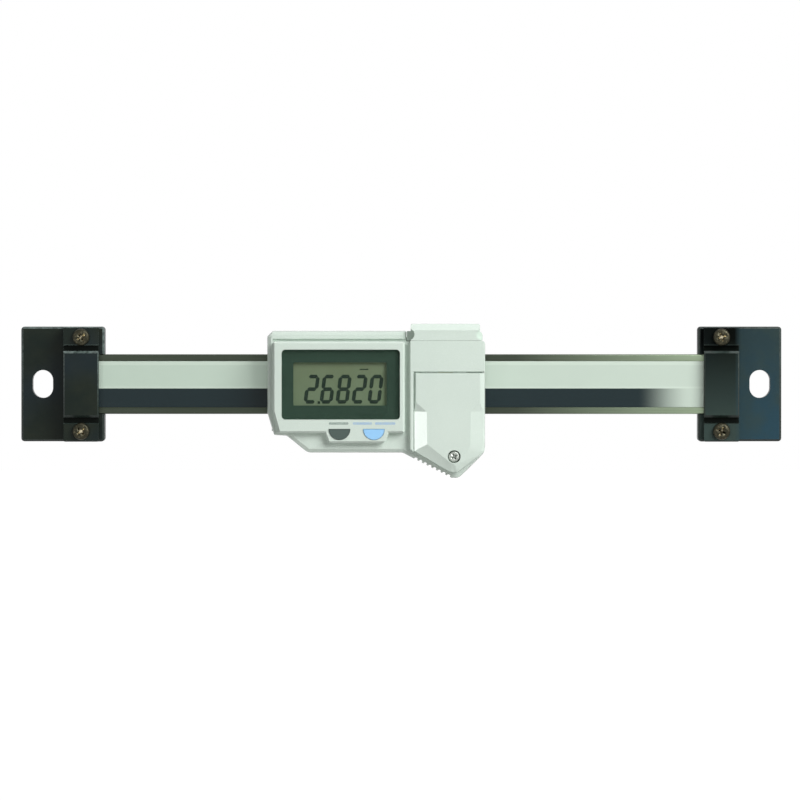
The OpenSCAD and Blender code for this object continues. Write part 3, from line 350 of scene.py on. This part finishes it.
def make_screw(name, radius, height, shank, length, recess):
    """A screw with its underside at the origin and its head towards +Z; the recess is marked for wear
    and painted shade.
    """
    point = 0.3
    rim = head_profile(radius, height, 0.45 * height)
    rim += [(shank, 0.0), (shank, point - length), (shank - point, -length), (0.0, -length)]
    steps = 48
    work = bmesh.new()
    rings = []
    for r, z in rim:
        turns = [2 * math.pi * k / steps for k in range(steps if r else 1)]
        rings.append([work.verts.new((r * MM * math.cos(t), r * MM * math.sin(t), z * MM))
                      for t in turns])
    for upper, lower in zip(rings, rings[1:]):
        for k in range(steps):
            j = (k + 1) % steps
            if len(upper) == 1:
                work.faces.new((upper[0], lower[k], lower[j]))
            elif len(lower) == 1:
                work.faces.new((upper[k], lower[0], upper[j]))
            else:
                work.faces.new((upper[k], lower[k], lower[j], upper[j]))
    mesh = shape(work, name)
    for face in mesh.polygons:
        face.use_smooth = True
    for stand_in in ("head", "recess"):
        mesh.materials.append(bpy.data.materials.new(name + "_" + stand_in))
    screw = put(name, mesh)
    # The recess: two crossing wedges that narrow to a point, cut out of the head
    wedge_sides = ((3, 2, 1, 0), (4, 5, 6, 7), (0, 1, 5, 4), (1, 2, 6, 5), (2, 3, 7, 6), (3, 0, 4, 7))
    cutter = bmesh.new()
    for turn in (0, 90):
        wide, slim = recess * MM, 0.2 * recess * MM
        top, deep = (height + 0.2) * MM, 0.25 * height * MM
        corners = [(-wide, -slim, top), (wide, -slim, top), (wide, slim, top), (-wide, slim, top),
                   (-0.35 * wide, -0.7 * slim, deep), (0.35 * wide, -0.7 * slim, deep),
                   (0.35 * wide, 0.7 * slim, deep), (-0.35 * wide, 0.7 * slim, deep)]
        # A hundredth of a degree keeps the wedges' faces off each other
        turned = Matrix.Rotation(math.radians(turn + 0.01), 3, "Z")
        v = [cutter.verts.new(turned @ Vector(c)) for c in corners]
        for side in wedge_sides:
            cutter.faces.new([v[i] for i in side])
    bmesh.ops.recalc_face_normals(cutter, faces=cutter.faces)
    tool_mesh = shape(cutter, name + "_driver")
    for stand_in in mesh.materials:
        tool_mesh.materials.append(stand_in)
    for face in tool_mesh.polygons:
        face.material_index = 1
    tool = put(name + "_driver", tool_mesh)
    cut = screw.modifiers.new("recess", "BOOLEAN")
    cut.operation, cut.object, cut.solver, cut.use_self = "DIFFERENCE", tool, "EXACT", True
    bpy.context.view_layer.update()
    done = bpy.data.meshes.new_from_object(screw.evaluated_get(bpy.context.evaluated_depsgraph_get()))
    bpy.data.objects.remove(screw)
    bpy.data.objects.remove(tool)
    worn = done.attributes.new("worn", "BOOLEAN", "FACE")
    for face in done.polygons:
        worn.data[face.index].value = face.material_index == 1
    for stand_in in list(done.materials):
        bpy.data.materials.remove(stand_in)
    done.materials.clear()
    return done


def start_geometry(name, **inputs):
    """A Geometry Nodes tree with its named inputs and their kinds, and its Group Input node."""
    tree = bpy.data.node_groups.new(name, "GeometryNodeTree")
    for label, kind in {"Geometry": "Geometry", **inputs}.items():
        tree.interface.new_socket(label, in_out="INPUT", socket_type="NodeSocket" + kind)
    tree.interface.new_socket("Geometry", in_out="OUTPUT", socket_type="NodeSocketGeometry")
    return tree, add(tree, "NodeGroupInput")


def grow(piece, tree, **inputs):
    """Runs a tree on a piece with these inputs, and leaves the piece a plain mesh."""
    setter = piece.modifiers.new(tree.name, "NODES")
    setter.node_group = tree
    sockets = {s.name: s.identifier for s in tree.interface.items_tree if s.in_out == "INPUT"}
    for label, value in inputs.items():
        setter[sockets[label]] = value
    bpy.context.view_layer.update()
    done = bpy.data.meshes.new_from_object(piece.evaluated_get(bpy.context.evaluated_depsgraph_get()))
    piece.modifiers.remove(setter)
    piece.data = done


def set_screws(name, screw_mesh, places, skin, worn, body, slot, *cad_nodes):
    """Geometry Nodes: one screw at each place, facing -Y, each turned by its own angle."""
    source = put(name + "_source", screw_mesh)
    dots = bpy.data.meshes.new(name)
    dots.from_pydata([p for p, _ in places], [], [])
    turns = dots.attributes.new("turn", "FLOAT", "POINT")
    for i, (_, turn) in enumerate(places):
        turns.data[i].value = math.radians(turn)
    piece = put(name, dots)
    tree, given = start_geometry(name, Screw="Object", Size="Float", Skin="Material",
                                 Worn="Material")
    screw = add(tree, "GeometryNodeObjectInfo", {"Object": given.outputs["Screw"]})
    turn = add(tree, "GeometryNodeInputNamedAttribute", {"Name": "turn"}, data_type="FLOAT")
    spin = add(tree, "ShaderNodeCombineXYZ", {"X": math.pi / 2})
    facing = add(tree, "FunctionNodeEulerToRotation", {"Euler": spin})
    own = add(tree, "ShaderNodeCombineXYZ", {"Z": turn})
    own_turn = add(tree, "FunctionNodeEulerToRotation", {"Euler": own})
    both = add(tree, "FunctionNodeRotateRotation", {"Rotation": facing, "Rotate By": own_turn},
               rotation_space="LOCAL")
    placed = add(tree, "GeometryNodeInstanceOnPoints", {"Points": given,
                                                        "Instance": screw.outputs["Geometry"],
                                                        "Rotation": both,
                                                        "Scale": given.outputs["Size"]})
    real = add(tree, "GeometryNodeRealizeInstances", {"Geometry": placed})
    skinned = add(tree, "GeometryNodeSetMaterial", {"Geometry": real,
                                                    "Material": given.outputs["Skin"]})
    # The recess gets the second material: worn steel on the clamp screws, painted shade on the cover
    # screw
    in_recess = add(tree, "GeometryNodeInputNamedAttribute", {"Name": "worn"}, data_type="BOOLEAN")
    coated = add(tree, "GeometryNodeSetMaterial", {"Geometry": skinned, "Selection": in_recess,
                                                   "Material": given.outputs["Worn"]})
    add(tree, "NodeGroupOutput", {"Geometry": coated})
    grow(piece, tree, Screw=source, Size=1.0, Skin=skin, Worn=worn)
    bpy.data.objects.remove(source)
    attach(piece, body)
    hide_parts(*cad_nodes)


blackened, tree, shader, place = start_material("blackened_screw_steel")
rub = add(tree, "ShaderNodeTexNoise", {"Vector": place, "Scale": 1800.0, "Detail": 3.0})
rubbed = add(tree, "ShaderNodeMapRange", {"Value": rub, "From Min": 0.5, "From Max": 0.85})
skin = add(tree, "ShaderNodeMix", {"Factor": rubbed, "A": colour("2b2a1e"), "B": colour("5d5846")},
           data_type="RGBA")
feed(shader, {"Base Color": skin, "Metallic": 0.8, "Roughness": 0.36})

worn_recess, tree, shader, place = start_material("driver_worn_steel")
scuff = add(tree, "ShaderNodeTexNoise", {"Vector": place, "Scale": 900.0, "Detail": 1.0})
bright = add(tree, "ShaderNodeMapRange", {"Value": scuff, "From Min": 0.42, "From Max": 0.58})
scuffed = add(tree, "ShaderNodeMix", {"Factor": bright,
                                      "A": colour("2b2718"), "B": colour("c9c0a4")},
              data_type="RGBA")
feed(shader, {"Base Color": scuffed, "Metallic": 0.9, "Roughness": 0.3})

head_r, head_h = 2.3, 1.5
clamp_screw = make_screw("clamp_screw", head_r, head_h, shank=1.25, length=8.0, recess=1.35)
places = []
for part, turns in (("left_clamp_screws", (35, 40)), ("right_clamp_screws", (20, 62))):
    low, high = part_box(part)
    for z, turn in ((high[2] - head_r * MM, turns[0]), (low[2] + head_r * MM, turns[1])):
        places.append((((low[0] + high[0]) / 2, low[1] + head_h * MM, z), turn))
set_screws("clamp_screw_set", clamp_screw, places, blackened, worn_recess, "rail", "dark_screw",
           "left_clamp_screws", "right_clamp_screws")

# ---------------------------------------------------------------------------------------------
# Slider frame, back plate, gib and wipers
# The frame is die-cast and machined where it runs on the beam, and the back plate is a milled
# aluminium plate; both are left satin. A brass gib strip sets the play, felt strips keep dirt out.

satin_metal, tree, shader, place = start_material("bead_blasted_aluminium")
cast = add(tree, "ShaderNodeTexNoise", {"Vector": place, "Scale": 400.0, "Detail": 3.0})
tone = add(tree, "ShaderNodeMix", {"Factor": cast, "A": colour("999f9a"), "B": colour("b3b8b3")},
           data_type="RGBA")
# Blasted grain, about 0.2 mm
grain = add(tree, "ShaderNodeTexNoise", {"Vector": place, "Scale": 5000.0, "Detail": 1.0})
relief = add(tree, "ShaderNodeBump", {"Height": grain, "Strength": 0.2, "Distance": 0.03 * MM})
feed(shader, {"Base Color": tone, "Normal": relief, "Metallic": 1.0, "Roughness": 0.48})
finish_node("slider_frame", satin_metal, "slider", "frame_metal", 0.08)
finish_node("back_plate", satin_metal, "slider", "frame_metal", 0.1)

# Fine streaks from the rolls
gib_brass = mottled("rolled_brass", 700.0, 2.0, "a98142", "c79f5c",
                    {"Metallic": 1.0, "Roughness": 0.35})
coat_node("gib_strip", gib_brass)

plated_screw, tree, shader, place = start_material("nickel_plated_steel")
mist = add(tree, "ShaderNodeTexNoise", {"Vector": place, "Scale": 1500.0, "Detail": 2.0})
dull = add(tree, "ShaderNodeMapRange", {"Value": mist, "To Min": 0.25, "To Max": 0.42})
feed(shader, {"Roughness": dull, "Base Color": colour("9a9f99"), "Metallic": 1.0})
finish_node("gib_screws", blackened, "slider", "dark_screw")
finish_node("back_plate_screws", blackened, "slider", "dark_screw", 0.04)
finish_node("case_screws", plated_screw, "slider", "steel_screw")

wool_felt, tree, shader, place = start_material("pressed_wool_felt")
# Fibres, about 0.1 mm thick
fibres = add(tree, "ShaderNodeTexNoise", {"Vector": place, "Scale": 8000.0, "Detail": 4.0})
tone = add(tree, "ShaderNodeMix", {"Factor": fibres, "A": colour("2b2b2b"), "B": colour("4a4a48")},
           data_type="RGBA")
relief = add(tree, "ShaderNodeBump", {"Height": fibres, "Strength": 0.6, "Distance": 0.05 * MM})
feed(shader, {"Base Color": tone, "Normal": relief, "Roughness": 0.95})
coat_node("wiper_strips", wool_felt)

# ---------------------------------------------------------------------------------------------
# Boards and connectors inside
# Two glass-epoxy boards under green solder mask, a black moulded board connector and the
# encapsulated measuring chip, which is a drop of black epoxy.

# The mask is thinner over the copper, which makes it patchy
solder_mask = mottled("green_solder_mask", 600.0, 3.0, "215a30", "36784a", {"Roughness": 0.3})
coat_node("reader_board", solder_mask)
coat_node("main_board", solder_mask)

# Glass fibres at the surface grey it a little
black_nylon = mottled("glass_filled_black_nylon", 3000.0, 2.0, "1c1d1f", "2d2f32",
                      {"Roughness": 0.55})
for part in ("reader_connector", "measuring_chip", "output_connector"):
    coat_node(part, black_nylon)

# ---------------------------------------------------------------------------------------------
# Display
# Two glass plates with liquid crystal between them, in a white moulded holder, on two striped
# rubber contacts. The rear film gives an olive ground on which the lit segments are dark green.

lcd_face, tree, shader, place = start_material("lcd_polariser")
axes = add(tree, "ShaderNodeSeparateXYZ", {"Vector": place})
up = add(tree, "ShaderNodeMapRange", {"Value": axes.outputs["Z"],
                                      "From Min": -6 * MM, "From Max": 6 * MM})
ground = add(tree, "ShaderNodeMix", {"Factor": up, "A": colour("6a7f5f"), "B": colour("6c7859")},
             data_type="RGBA")
haze = add(tree, "ShaderNodeTexNoise", {"Vector": place, "Scale": 150.0, "Detail": 2.0})
hazed = add(tree, "ShaderNodeMix", {"Factor": haze, "A": ground, "B": colour("76876c")},
            data_type="RGBA")
feed(shader, {"Base Color": hazed, "Roughness": 0.35, "Specular IOR Level": 0.2})
finish_node("lcd_glass", lcd_face, "slider", "lcd_glass", 0.05)

# Off-white, with faint moulding flow
white_abs = mottled("white_moulded_abs", 300.0, 2.0, "d9dbd6", "e8eae6", {"Roughness": 0.5})
coat_node("lcd_holder", white_abs)

# A faint grey bloom lies on the rubber
dark_rubber = mottled("carbon_filled_silicone", 900.0, 3.0, "202121", "343635", {"Roughness": 0.75})
for part in ("zebra_strips", "case_gasket", "cover_gasket", "battery_seal"):
    coat_node(part, dark_rubber)

# The crystal is a little uneven in depth
lit_segment = mottled("lit_lcd_segment", 700.0, 2.0, "1c2a22", "26352b",
                      {"Roughness": 0.5, "Specular IOR Level": 0.1})

# Segments of each digit: middle of the bar across and up, in halves of the digit's width and
# height, and whether it stands upright
segments = {"a": (0, 1, 0), "g": (0, 0, 0), "d": (0, -1, 0),
            "f": (-1, 0.5, 1), "b": (1, 0.5, 1), "e": (-1, -0.5, 1), "c": (1, -0.5, 1)}
digits = {"2": "abged", "6": "acdefg", "8": "abcdefg", "0": "abcdef"}
digit_w, digit_h, stroke, pitch, slant = 2.5, 6.75, 0.98, 4.26, 7.5
low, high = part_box("lcd_glass")
glass_x, glass_z, glass_front = (low[0] + high[0]) / 2, (low[2] + high[2]) / 2, low[1]
# Centre of the last digit, to the right of the glass's centre and above it
last_x, digits_z = 10.0, -1.25
bars = []
for place_no, figure in enumerate("02862"):
    centre = last_x - pitch * place_no
    for letter in digits[figure]:
        across, up, upright = segments[letter]
        bars.append((centre + across * digit_w / 2, digits_z + up * digit_h / 2, upright))
bar_mesh = bpy.data.meshes.new("segment_bar")
long, half = 0.5 - 0.02, 0.5
shoulder = long - 0.14
bar_outline = [(-long, 0), (-shoulder, half), (shoulder, half), (long, 0), (shoulder, -half),
               (-shoulder, -half)]
bar_mesh.from_pydata([(x, y, 0) for x, y in bar_outline], [], [tuple(range(6))])
bar_source = put("segment_bar", bar_mesh)
dots = bpy.data.meshes.new("display_digits")
dots.from_pydata([(x * MM, z * MM, 0) for x, z, _ in bars], [], [])
for name in ("length", "turn"):
    dots.attributes.new(name, "FLOAT", "POINT")
for i, (_, _, upright) in enumerate(bars):
    dots.attributes["turn"].data[i].value = math.pi / 2 * upright
    dots.attributes["length"].data[i].value = (digit_h / 2 if upright else digit_w) * MM
display_digits = put("display_digits", dots)
tree, given = start_geometry("display_digits", Bar="Object", Stroke="Float", Slant="Float",
                             Thickness="Float", Ink="Material")
bar = add(tree, "GeometryNodeObjectInfo", {"Object": given.outputs["Bar"]})
length = add(tree, "GeometryNodeInputNamedAttribute", {"Name": "length"}, data_type="FLOAT")
turn = add(tree, "GeometryNodeInputNamedAttribute", {"Name": "turn"}, data_type="FLOAT")
angle = add(tree, "ShaderNodeCombineXYZ", {"Z": turn})
size = add(tree, "ShaderNodeCombineXYZ", {"X": length, "Y": given.outputs["Stroke"], "Z": 1.0})
placed = add(tree, "GeometryNodeInstanceOnPoints", {"Points": given,
                                                    "Instance": bar.outputs["Geometry"],
                                                    "Rotation": angle, "Scale": size})
real = add(tree, "GeometryNodeRealizeInstances", {"Geometry": placed})
where = add(tree, "GeometryNodeInputPosition")
parts = add(tree, "ShaderNodeSeparateXYZ", {"Vector": where})
lean = add(tree, "ShaderNodeMath", {0: parts.outputs["Y"], 1: given.outputs["Slant"]},
           operation="MULTIPLY")
shift = add(tree, "ShaderNodeCombineXYZ", {"X": lean})
leaning = add(tree, "GeometryNodeSetPosition", {"Geometry": real, "Offset": shift})
way = add(tree, "ShaderNodeCombineXYZ", {"Z": given.outputs["Thickness"]})
thick = add(tree, "GeometryNodeExtrudeMesh", {"Mesh": leaning, "Offset": way, "Offset Scale": 1.0})
base = add(tree, "GeometryNodeFlipFaces", {"Mesh": leaning})
closed = add(tree, "GeometryNodeJoinGeometry", {"Geometry": thick})
feed(closed, {"Geometry": base})
merged = add(tree, "GeometryNodeMergeByDistance", {"Geometry": closed, "Distance": 1e-7})
inked = add(tree, "GeometryNodeSetMaterial", {"Geometry": merged, "Material": given.outputs["Ink"]})
add(tree, "NodeGroupOutput", {"Geometry": inked})
ink_t = 0.03 * MM
grow(display_digits, tree, Bar=bar_source, Stroke=stroke * MM, Slant=math.tan(math.radians(slant)),
     Thickness=ink_t, Ink=lit_segment)
# The drawing lies flat: it is stood up against the front of the glass
stood_up = Matrix.Translation((glass_x, glass_front, glass_z)) @ Matrix.Rotation(math.pi / 2, 4, "X")
display_digits.data.transform(stood_up)
bpy.data.objects.remove(bar_source)
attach(display_digits, "slider")


def plate(name, corners, back, front, made, body, slot, *cad_nodes):
    """A flat closed piece from an outline [across, up] in millimetres, between two depths."""
    work = bmesh.new()
    face = work.faces.new([work.verts.new((x * MM, back, z * MM)) for x, z in corners])
    moved = bmesh.ops.extrude_face_region(work, geom=[face])["geom"]
    bmesh.ops.translate(work, verts=[v for v in moved if isinstance(v, bmesh.types.BMVert)],
                        vec=(0, front - back, 0))
    bmesh.ops.recalc_face_normals(work, faces=work.faces)
    piece = put(name, shape(work, name))
    piece.data.materials.append(made)
    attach(piece, body)
    if cad_nodes:
        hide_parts(*cad_nodes)


# Decimal point, and a plain mark where the unit stands
gx, gz = glass_x / MM, glass_z / MM
for name, left, right, foot, top in (("decimal_point", -5.65, -4.95, -5.15, -4.45),
                                     ("unit_mark", 5.6, 7.9, 3.9, 4.2)):
    corners = [(gx + x, gz + z) for x, z in ((left, foot), (right, foot), (right, top), (left, top))]
    plate(name, corners, glass_front, glass_front - ink_t, lit_segment, "slider", "black_plastic")

# ---------------------------------------------------------------------------------------------
# Keys
# A grey silicone sheet springs the two half-moon keys. The keys are moulded in coloured plastic,
# one dark green-grey and one light blue, with a fine matt finish.

# Rubber with a faint bloom
grey_silicone = mottled("grey_silicone", 800.0, 2.0, "b9b9b4", "cfcfca", {"Roughness": 0.7})
coat_node("keypad", grey_silicone)
for part, body, slot, deep, pale in (("origin_button", "origin_key", "dark_key", "35443f", "43544e"),
                                     ("zero_button", "zero_key", "blue_key", "8cc4f2", "a2d4fb")):
    key_plastic, tree, shader, place = start_material("matt_key_" + slot)
    # Spark-eroded grain, about 0.12 mm
    grain = add(tree, "ShaderNodeTexNoise", {"Vector": place, "Scale": 8000.0, "Detail": 1.0})
    tone = add(tree, "ShaderNodeMix", {"Factor": grain, "A": colour(deep), "B": colour(pale)},
               data_type="RGBA")
    relief = add(tree, "ShaderNodeBump", {"Height": grain, "Strength": 0.15, "Distance": 0.03 * MM})
    feed(shader, {"Base Color": tone, "Normal": relief, "Roughness": 0.5})
    finish_node(part, key_plastic, body, slot, 0.15, segments=3)

# ---------------------------------------------------------------------------------------------
# Housing
# The front case, connector cover and battery cap are injection moulded in silver-grey ABS with a
# fine pearl pigment: a satin surface, cool and slightly green, with soft moulded edges.

# The connector cover comes from a polished mould, so it is glossier than the case and the cap
housing_plastics = []
for name, roughness in (("pearl_silver_abs", 0.24), ("polished_pearl_abs", 0.15)):
    plastic, tree, shader, place = start_material(name)
    flow = add(tree, "ShaderNodeTexNoise", {"Vector": place, "Scale": 60.0, "Detail": 3.0})
    tone = add(tree, "ShaderNodeMix", {"Factor": flow,
                                       "A": colour("c9d7cd"), "B": colour("d3e0d6")},
               data_type="RGBA")
    # Pearl flakes, about 0.15 mm, coarser than real so they show
    flakes = add(tree, "ShaderNodeTexNoise", {"Vector": place, "Scale": 6500.0, "Detail": 1.0})
    glint = add(tree, "ShaderNodeMapRange", {"Value": flakes, "From Min": 0.58, "From Max": 0.75})
    sparkle = add(tree, "ShaderNodeMath", {0: glint, 1: 0.5}, operation="MULTIPLY")
    pearl = add(tree, "ShaderNodeMix", {"Factor": sparkle, "A": tone, "B": colour("eef6f0")},
                data_type="RGBA")
    relief = add(tree, "ShaderNodeBump", {"Height": flakes, "Strength": 0.06, "Distance": 0.02 * MM})
    feed(shader, {"Base Color": pearl, "Roughness": roughness, "Normal": relief})
    housing_plastics.append(plastic)
satin_abs, polished_abs = housing_plastics
finish_node("front_case", satin_abs, "slider", "housing", 0.15, corner=25)
finish_node("connector_cover", polished_abs, "slider", "housing", 0.1, corner=9)
finish_node("battery_cap", satin_abs, "cap", "housing", 0.15, corner=25)

# ---------------------------------------------------------------------------------------------
# Display window
# A clear acrylic pane, set flush in the case. A dark green-black border is printed on its back,
# so the border is seen through the gloss of the pane.

low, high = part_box("display_window")
pane_front, pane_back = low[1], high[1]
x0, x1, z0, z1 = low[0] / MM, high[0] / MM, low[2] / MM, high[2] / MM


def round_box(x0, x1, z0, z1, radius, steps=8):
    """A rectangle's outline with round corners, in millimetres."""
    corners = ((x1 - radius, z1 - radius, 0), (x0 + radius, z1 - radius, 90),
               (x0 + radius, z0 + radius, 180), (x1 - radius, z0 + radius, 270))
    return [(cx + radius * math.cos(math.radians(start + 90 * k / steps)),
             cz + radius * math.sin(math.radians(start + 90 * k / steps)))
            for cx, cz, start in corners for k in range(steps + 1)]


clear_acrylic, tree, shader, place = start_material("clear_acrylic")
wipe = add(tree, "ShaderNodeTexNoise", {"Vector": place, "Scale": 90.0, "Detail": 3.0})
smear = add(tree, "ShaderNodeMapRange", {"Value": wipe, "To Min": 0.05, "To Max": 0.14})
feed(shader, {"Roughness": smear, "Base Color": colour("3c4a40"), "Alpha": 0.06,
              "Specular IOR Level": 0.1, "IOR": 1.49})
clear_acrylic.surface_render_method = "BLENDED"
border_front = pane_back - 0.1 * MM
plate("window_pane", round_box(x0, x1, z0, z1, 0.95), border_front - 0.02 * MM, pane_front,
      clear_acrylic, "slider", "window", "display_window")

# Screen-printed, so slightly uneven in cover
border_ink = mottled("printed_border_ink", 400.0, 2.0, "273d31", "2f4539",
                     {"Roughness": 0.6, "Specular IOR Level": 0.15})
outer = round_box(x0 + 0.02, x1 - 0.02, z0 + 0.02, z1 - 0.02, 0.93)
inner = round_box(gx - 12.1, gx + 12.8, gz - 5.6, gz + 5.9, 0.4)
work = bmesh.new()
count = len(outer)
rings = [[work.verts.new((x * MM, y, z * MM)) for x, z in ring]
         for ring, y in ((outer, pane_back), (inner, pane_back),
                         (inner, border_front), (outer, border_front))]
for a, b in zip(rings, rings[1:] + rings[:1]):
    for k in range(count):
        j = (k + 1) % count
        work.faces.new((a[k], a[j], b[j], b[k]))
bmesh.ops.recalc_face_normals(work, faces=work.faces)
window_border = put("window_border", shape(work, "window_border"))
window_border.data.materials.append(border_ink)
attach(window_border, "slider")

# ---------------------------------------------------------------------------------------------
# Key captions
# Pad-printed bars of ink on the case's face, in the keys' colours and with no letters: one over the
# dark key and two over the blue one.

# Pad-printed ink lets a little of the case through
dark_ink, blue_ink = [mottled(name, 3000.0, 2.0, tone, "b9c9c0", {"Roughness": 0.6}) for name, tone
                      in (("dark_caption_ink", "6d7d76"), ("blue_caption_ink", "93b6e2"))]
face_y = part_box("front_case")[0][1]
dark_x, blue_x = [sum(corner[0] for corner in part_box(key)) / 2 / MM
                  for key in ("origin_button", "zero_button")]
caption_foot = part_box("zero_button")[1][2] / MM + 0.7
caption_h = 0.65
for name, ink, slot, start, width in (("dark_caption", dark_ink, "dark_key", dark_x - 2.8, 5.2),
                                      ("blue_caption_1", blue_ink, "blue_key", blue_x - 5.6, 5.1),
                                      ("blue_caption_2", blue_ink, "blue_key", blue_x + 0.3, 5.4)):
    plate(name, round_box(start, start + width, caption_foot, caption_foot + caption_h, 0.25, 3),
          face_y, face_y - 0.01 * MM, ink, "slider", slot)

# ---------------------------------------------------------------------------------------------
# Cover screw
# One nickel-plated steel M2 pan-head screw with a cross recess holds the connector cover at its
# tip. Its head is sunk in a counterbore.

# Plated steel, duller in the recess, where it is painted darker as shade
recess_shade_grey = mottled("shadowed_plated_steel", 2000.0, 2.0, "7c827d", "a9afa9",
                      {"Metallic": 1.0, "Roughness": 0.4})
low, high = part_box("cover_screw")
head_h = 1.0
cover_screw = make_screw("cover_screw_blank", 1.6, head_h, shank=1.0, length=4.0, recess=0.95)
set_screws("cover_screw_set", cover_screw,
           [(((low[0] + high[0]) / 2, low[1] + head_h * MM, (low[2] + high[2]) / 2), 30)],
           plated_screw, recess_shade_grey, "slider", "steel_screw", "cover_screw")

# ---------------------------------------------------------------------------------------------
# Battery
# A nickel-plated steel button cell under the cap, between two spring contacts of bare brass, which
# air has dulled.

cell_can, tree, shader, place = start_material("nickel_plated_cell_can")
swirl = add(tree, "ShaderNodeTexNoise", {"Vector": place, "Scale": 500.0, "Detail": 3.0})
dull = add(tree, "ShaderNodeMapRange", {"Value": swirl, "To Min": 0.15, "To Max": 0.3})
feed(shader, {"Roughness": dull, "Base Color": colour("c6c8c6"), "Metallic": 1.0})
finish_node("battery", cell_can, "slider", "cell_steel", 0.15)

# Tarnish in soft patches
spring_brass = mottled("dulled_spring_brass", 900.0, 2.0, "8a7a4e", "a5946a",
                       {"Metallic": 1.0, "Roughness": 0.3})
coat_node("battery_contacts", spring_brass)

# ---------------------------------------------------------------------------------------------
# Floor, light and camera
# A pale floor under the unit. A soft lamp stands at the upper right, a weak strip above the unit
# and a small weak lamp at the left. Floor and world are white to the camera and in reflections,
# and the floor keeps the unit's shadow.


def looked_at(tree):
    """1 for the camera, reflections and views through glass, 0 for light that falls on the unit."""
    ray = add(tree, "ShaderNodeLightPath")
    either = add(tree, "ShaderNodeMath", {0: ray, 1: ray.outputs["Is Glossy Ray"]},
                 operation="MAXIMUM")
    return add(tree, "ShaderNodeMath", {0: either, 1: ray.outputs["Is Transmission Ray"]},
               operation="MAXIMUM")


white = (1.0, 1.0, 1.0, 1.0)
middle = Vector((0.0959, -0.005, -0.0043))
floor_mesh = bpy.data.meshes.new("floor")
reach, drop = 4.0, -0.118
corners = [(x * reach, y * reach, drop) for x, y in ((-1, -1), (1, -1), (1, 1), (-1, 1))]
floor_mesh.from_pydata(corners, [], [(0, 1, 2, 3)])
floor = put("floor", floor_mesh)
paper, tree, shader, place = start_material("white_paper")
# Away from the unit the paper turns to plain white for what looks at it, not for what it lights
shown = looked_at(tree)
from_middle = add(tree, "ShaderNodeVectorMath", {0: place, 1: (0.096, -0.01, drop)},
                  operation="DISTANCE")
far_off = add(tree, "ShaderNodeMapRange", {"Value": from_middle, "From Min": 0.25, "From Max": 0.8,
                                           "To Min": 0.75, "To Max": 1.0},
              interpolation_type="SMOOTHSTEP")
glow = add(tree, "ShaderNodeMath", {0: shown, 1: far_off}, operation="MULTIPLY")
feed(shader, {"Base Color": colour("b4b4b2"), "Roughness": 0.9, "Emission Color": white,
              "Emission Strength": glow})
floor_mesh.materials.append(paper)

world = bpy.data.worlds.new("studio")
world.use_nodes = True
bpy.context.scene.world = world
tree = world.node_tree
strength = add(tree, "ShaderNodeMapRange", {"Value": looked_at(tree),
                                            "To Min": 0.11, "To Max": 1.0})
feed(tree.nodes["Background"], {"Color": white, "Strength": strength})

for name, where, wide, high, power in (("key_lamp", (0.62, -0.62, 0.49), 0.6, 0.6, 10.3),
                                       ("top_lamp", (0.096, -0.12, 0.7), 0.5, 0.1, 0.5),
                                       ("left_lamp", (-0.268, -0.672, -0.027), 0.07, 0.12, 0.36)):
    lamp = bpy.data.lights.new(name, "AREA")
    lamp.shape, lamp.size, lamp.size_y, lamp.energy = "RECTANGLE", wide, high, power
    holder = put(name, lamp)
    holder.location = where
    holder.rotation_euler = (middle - Vector(where)).to_track_quat("-Z", "Y").to_euler()

lens = bpy.data.cameras.new("camera")
camera = put("camera", lens)
# Straight on and a touch above, from two metres, framed on 215 mm
distance, above, framed, sensor = 2.0, math.radians(0.8), 0.2148, 36.0
camera.location = middle + distance * Vector((0, -math.cos(above), math.sin(above)))
camera.rotation_euler = (math.pi / 2 - above, 0, 0)
lens.sensor_width = sensor
lens.lens = sensor * distance / framed
lens.clip_start = 0.01
bpy.context.scene.camera = camera
bpy.context.scene.view_settings.view_transform = "Standard"
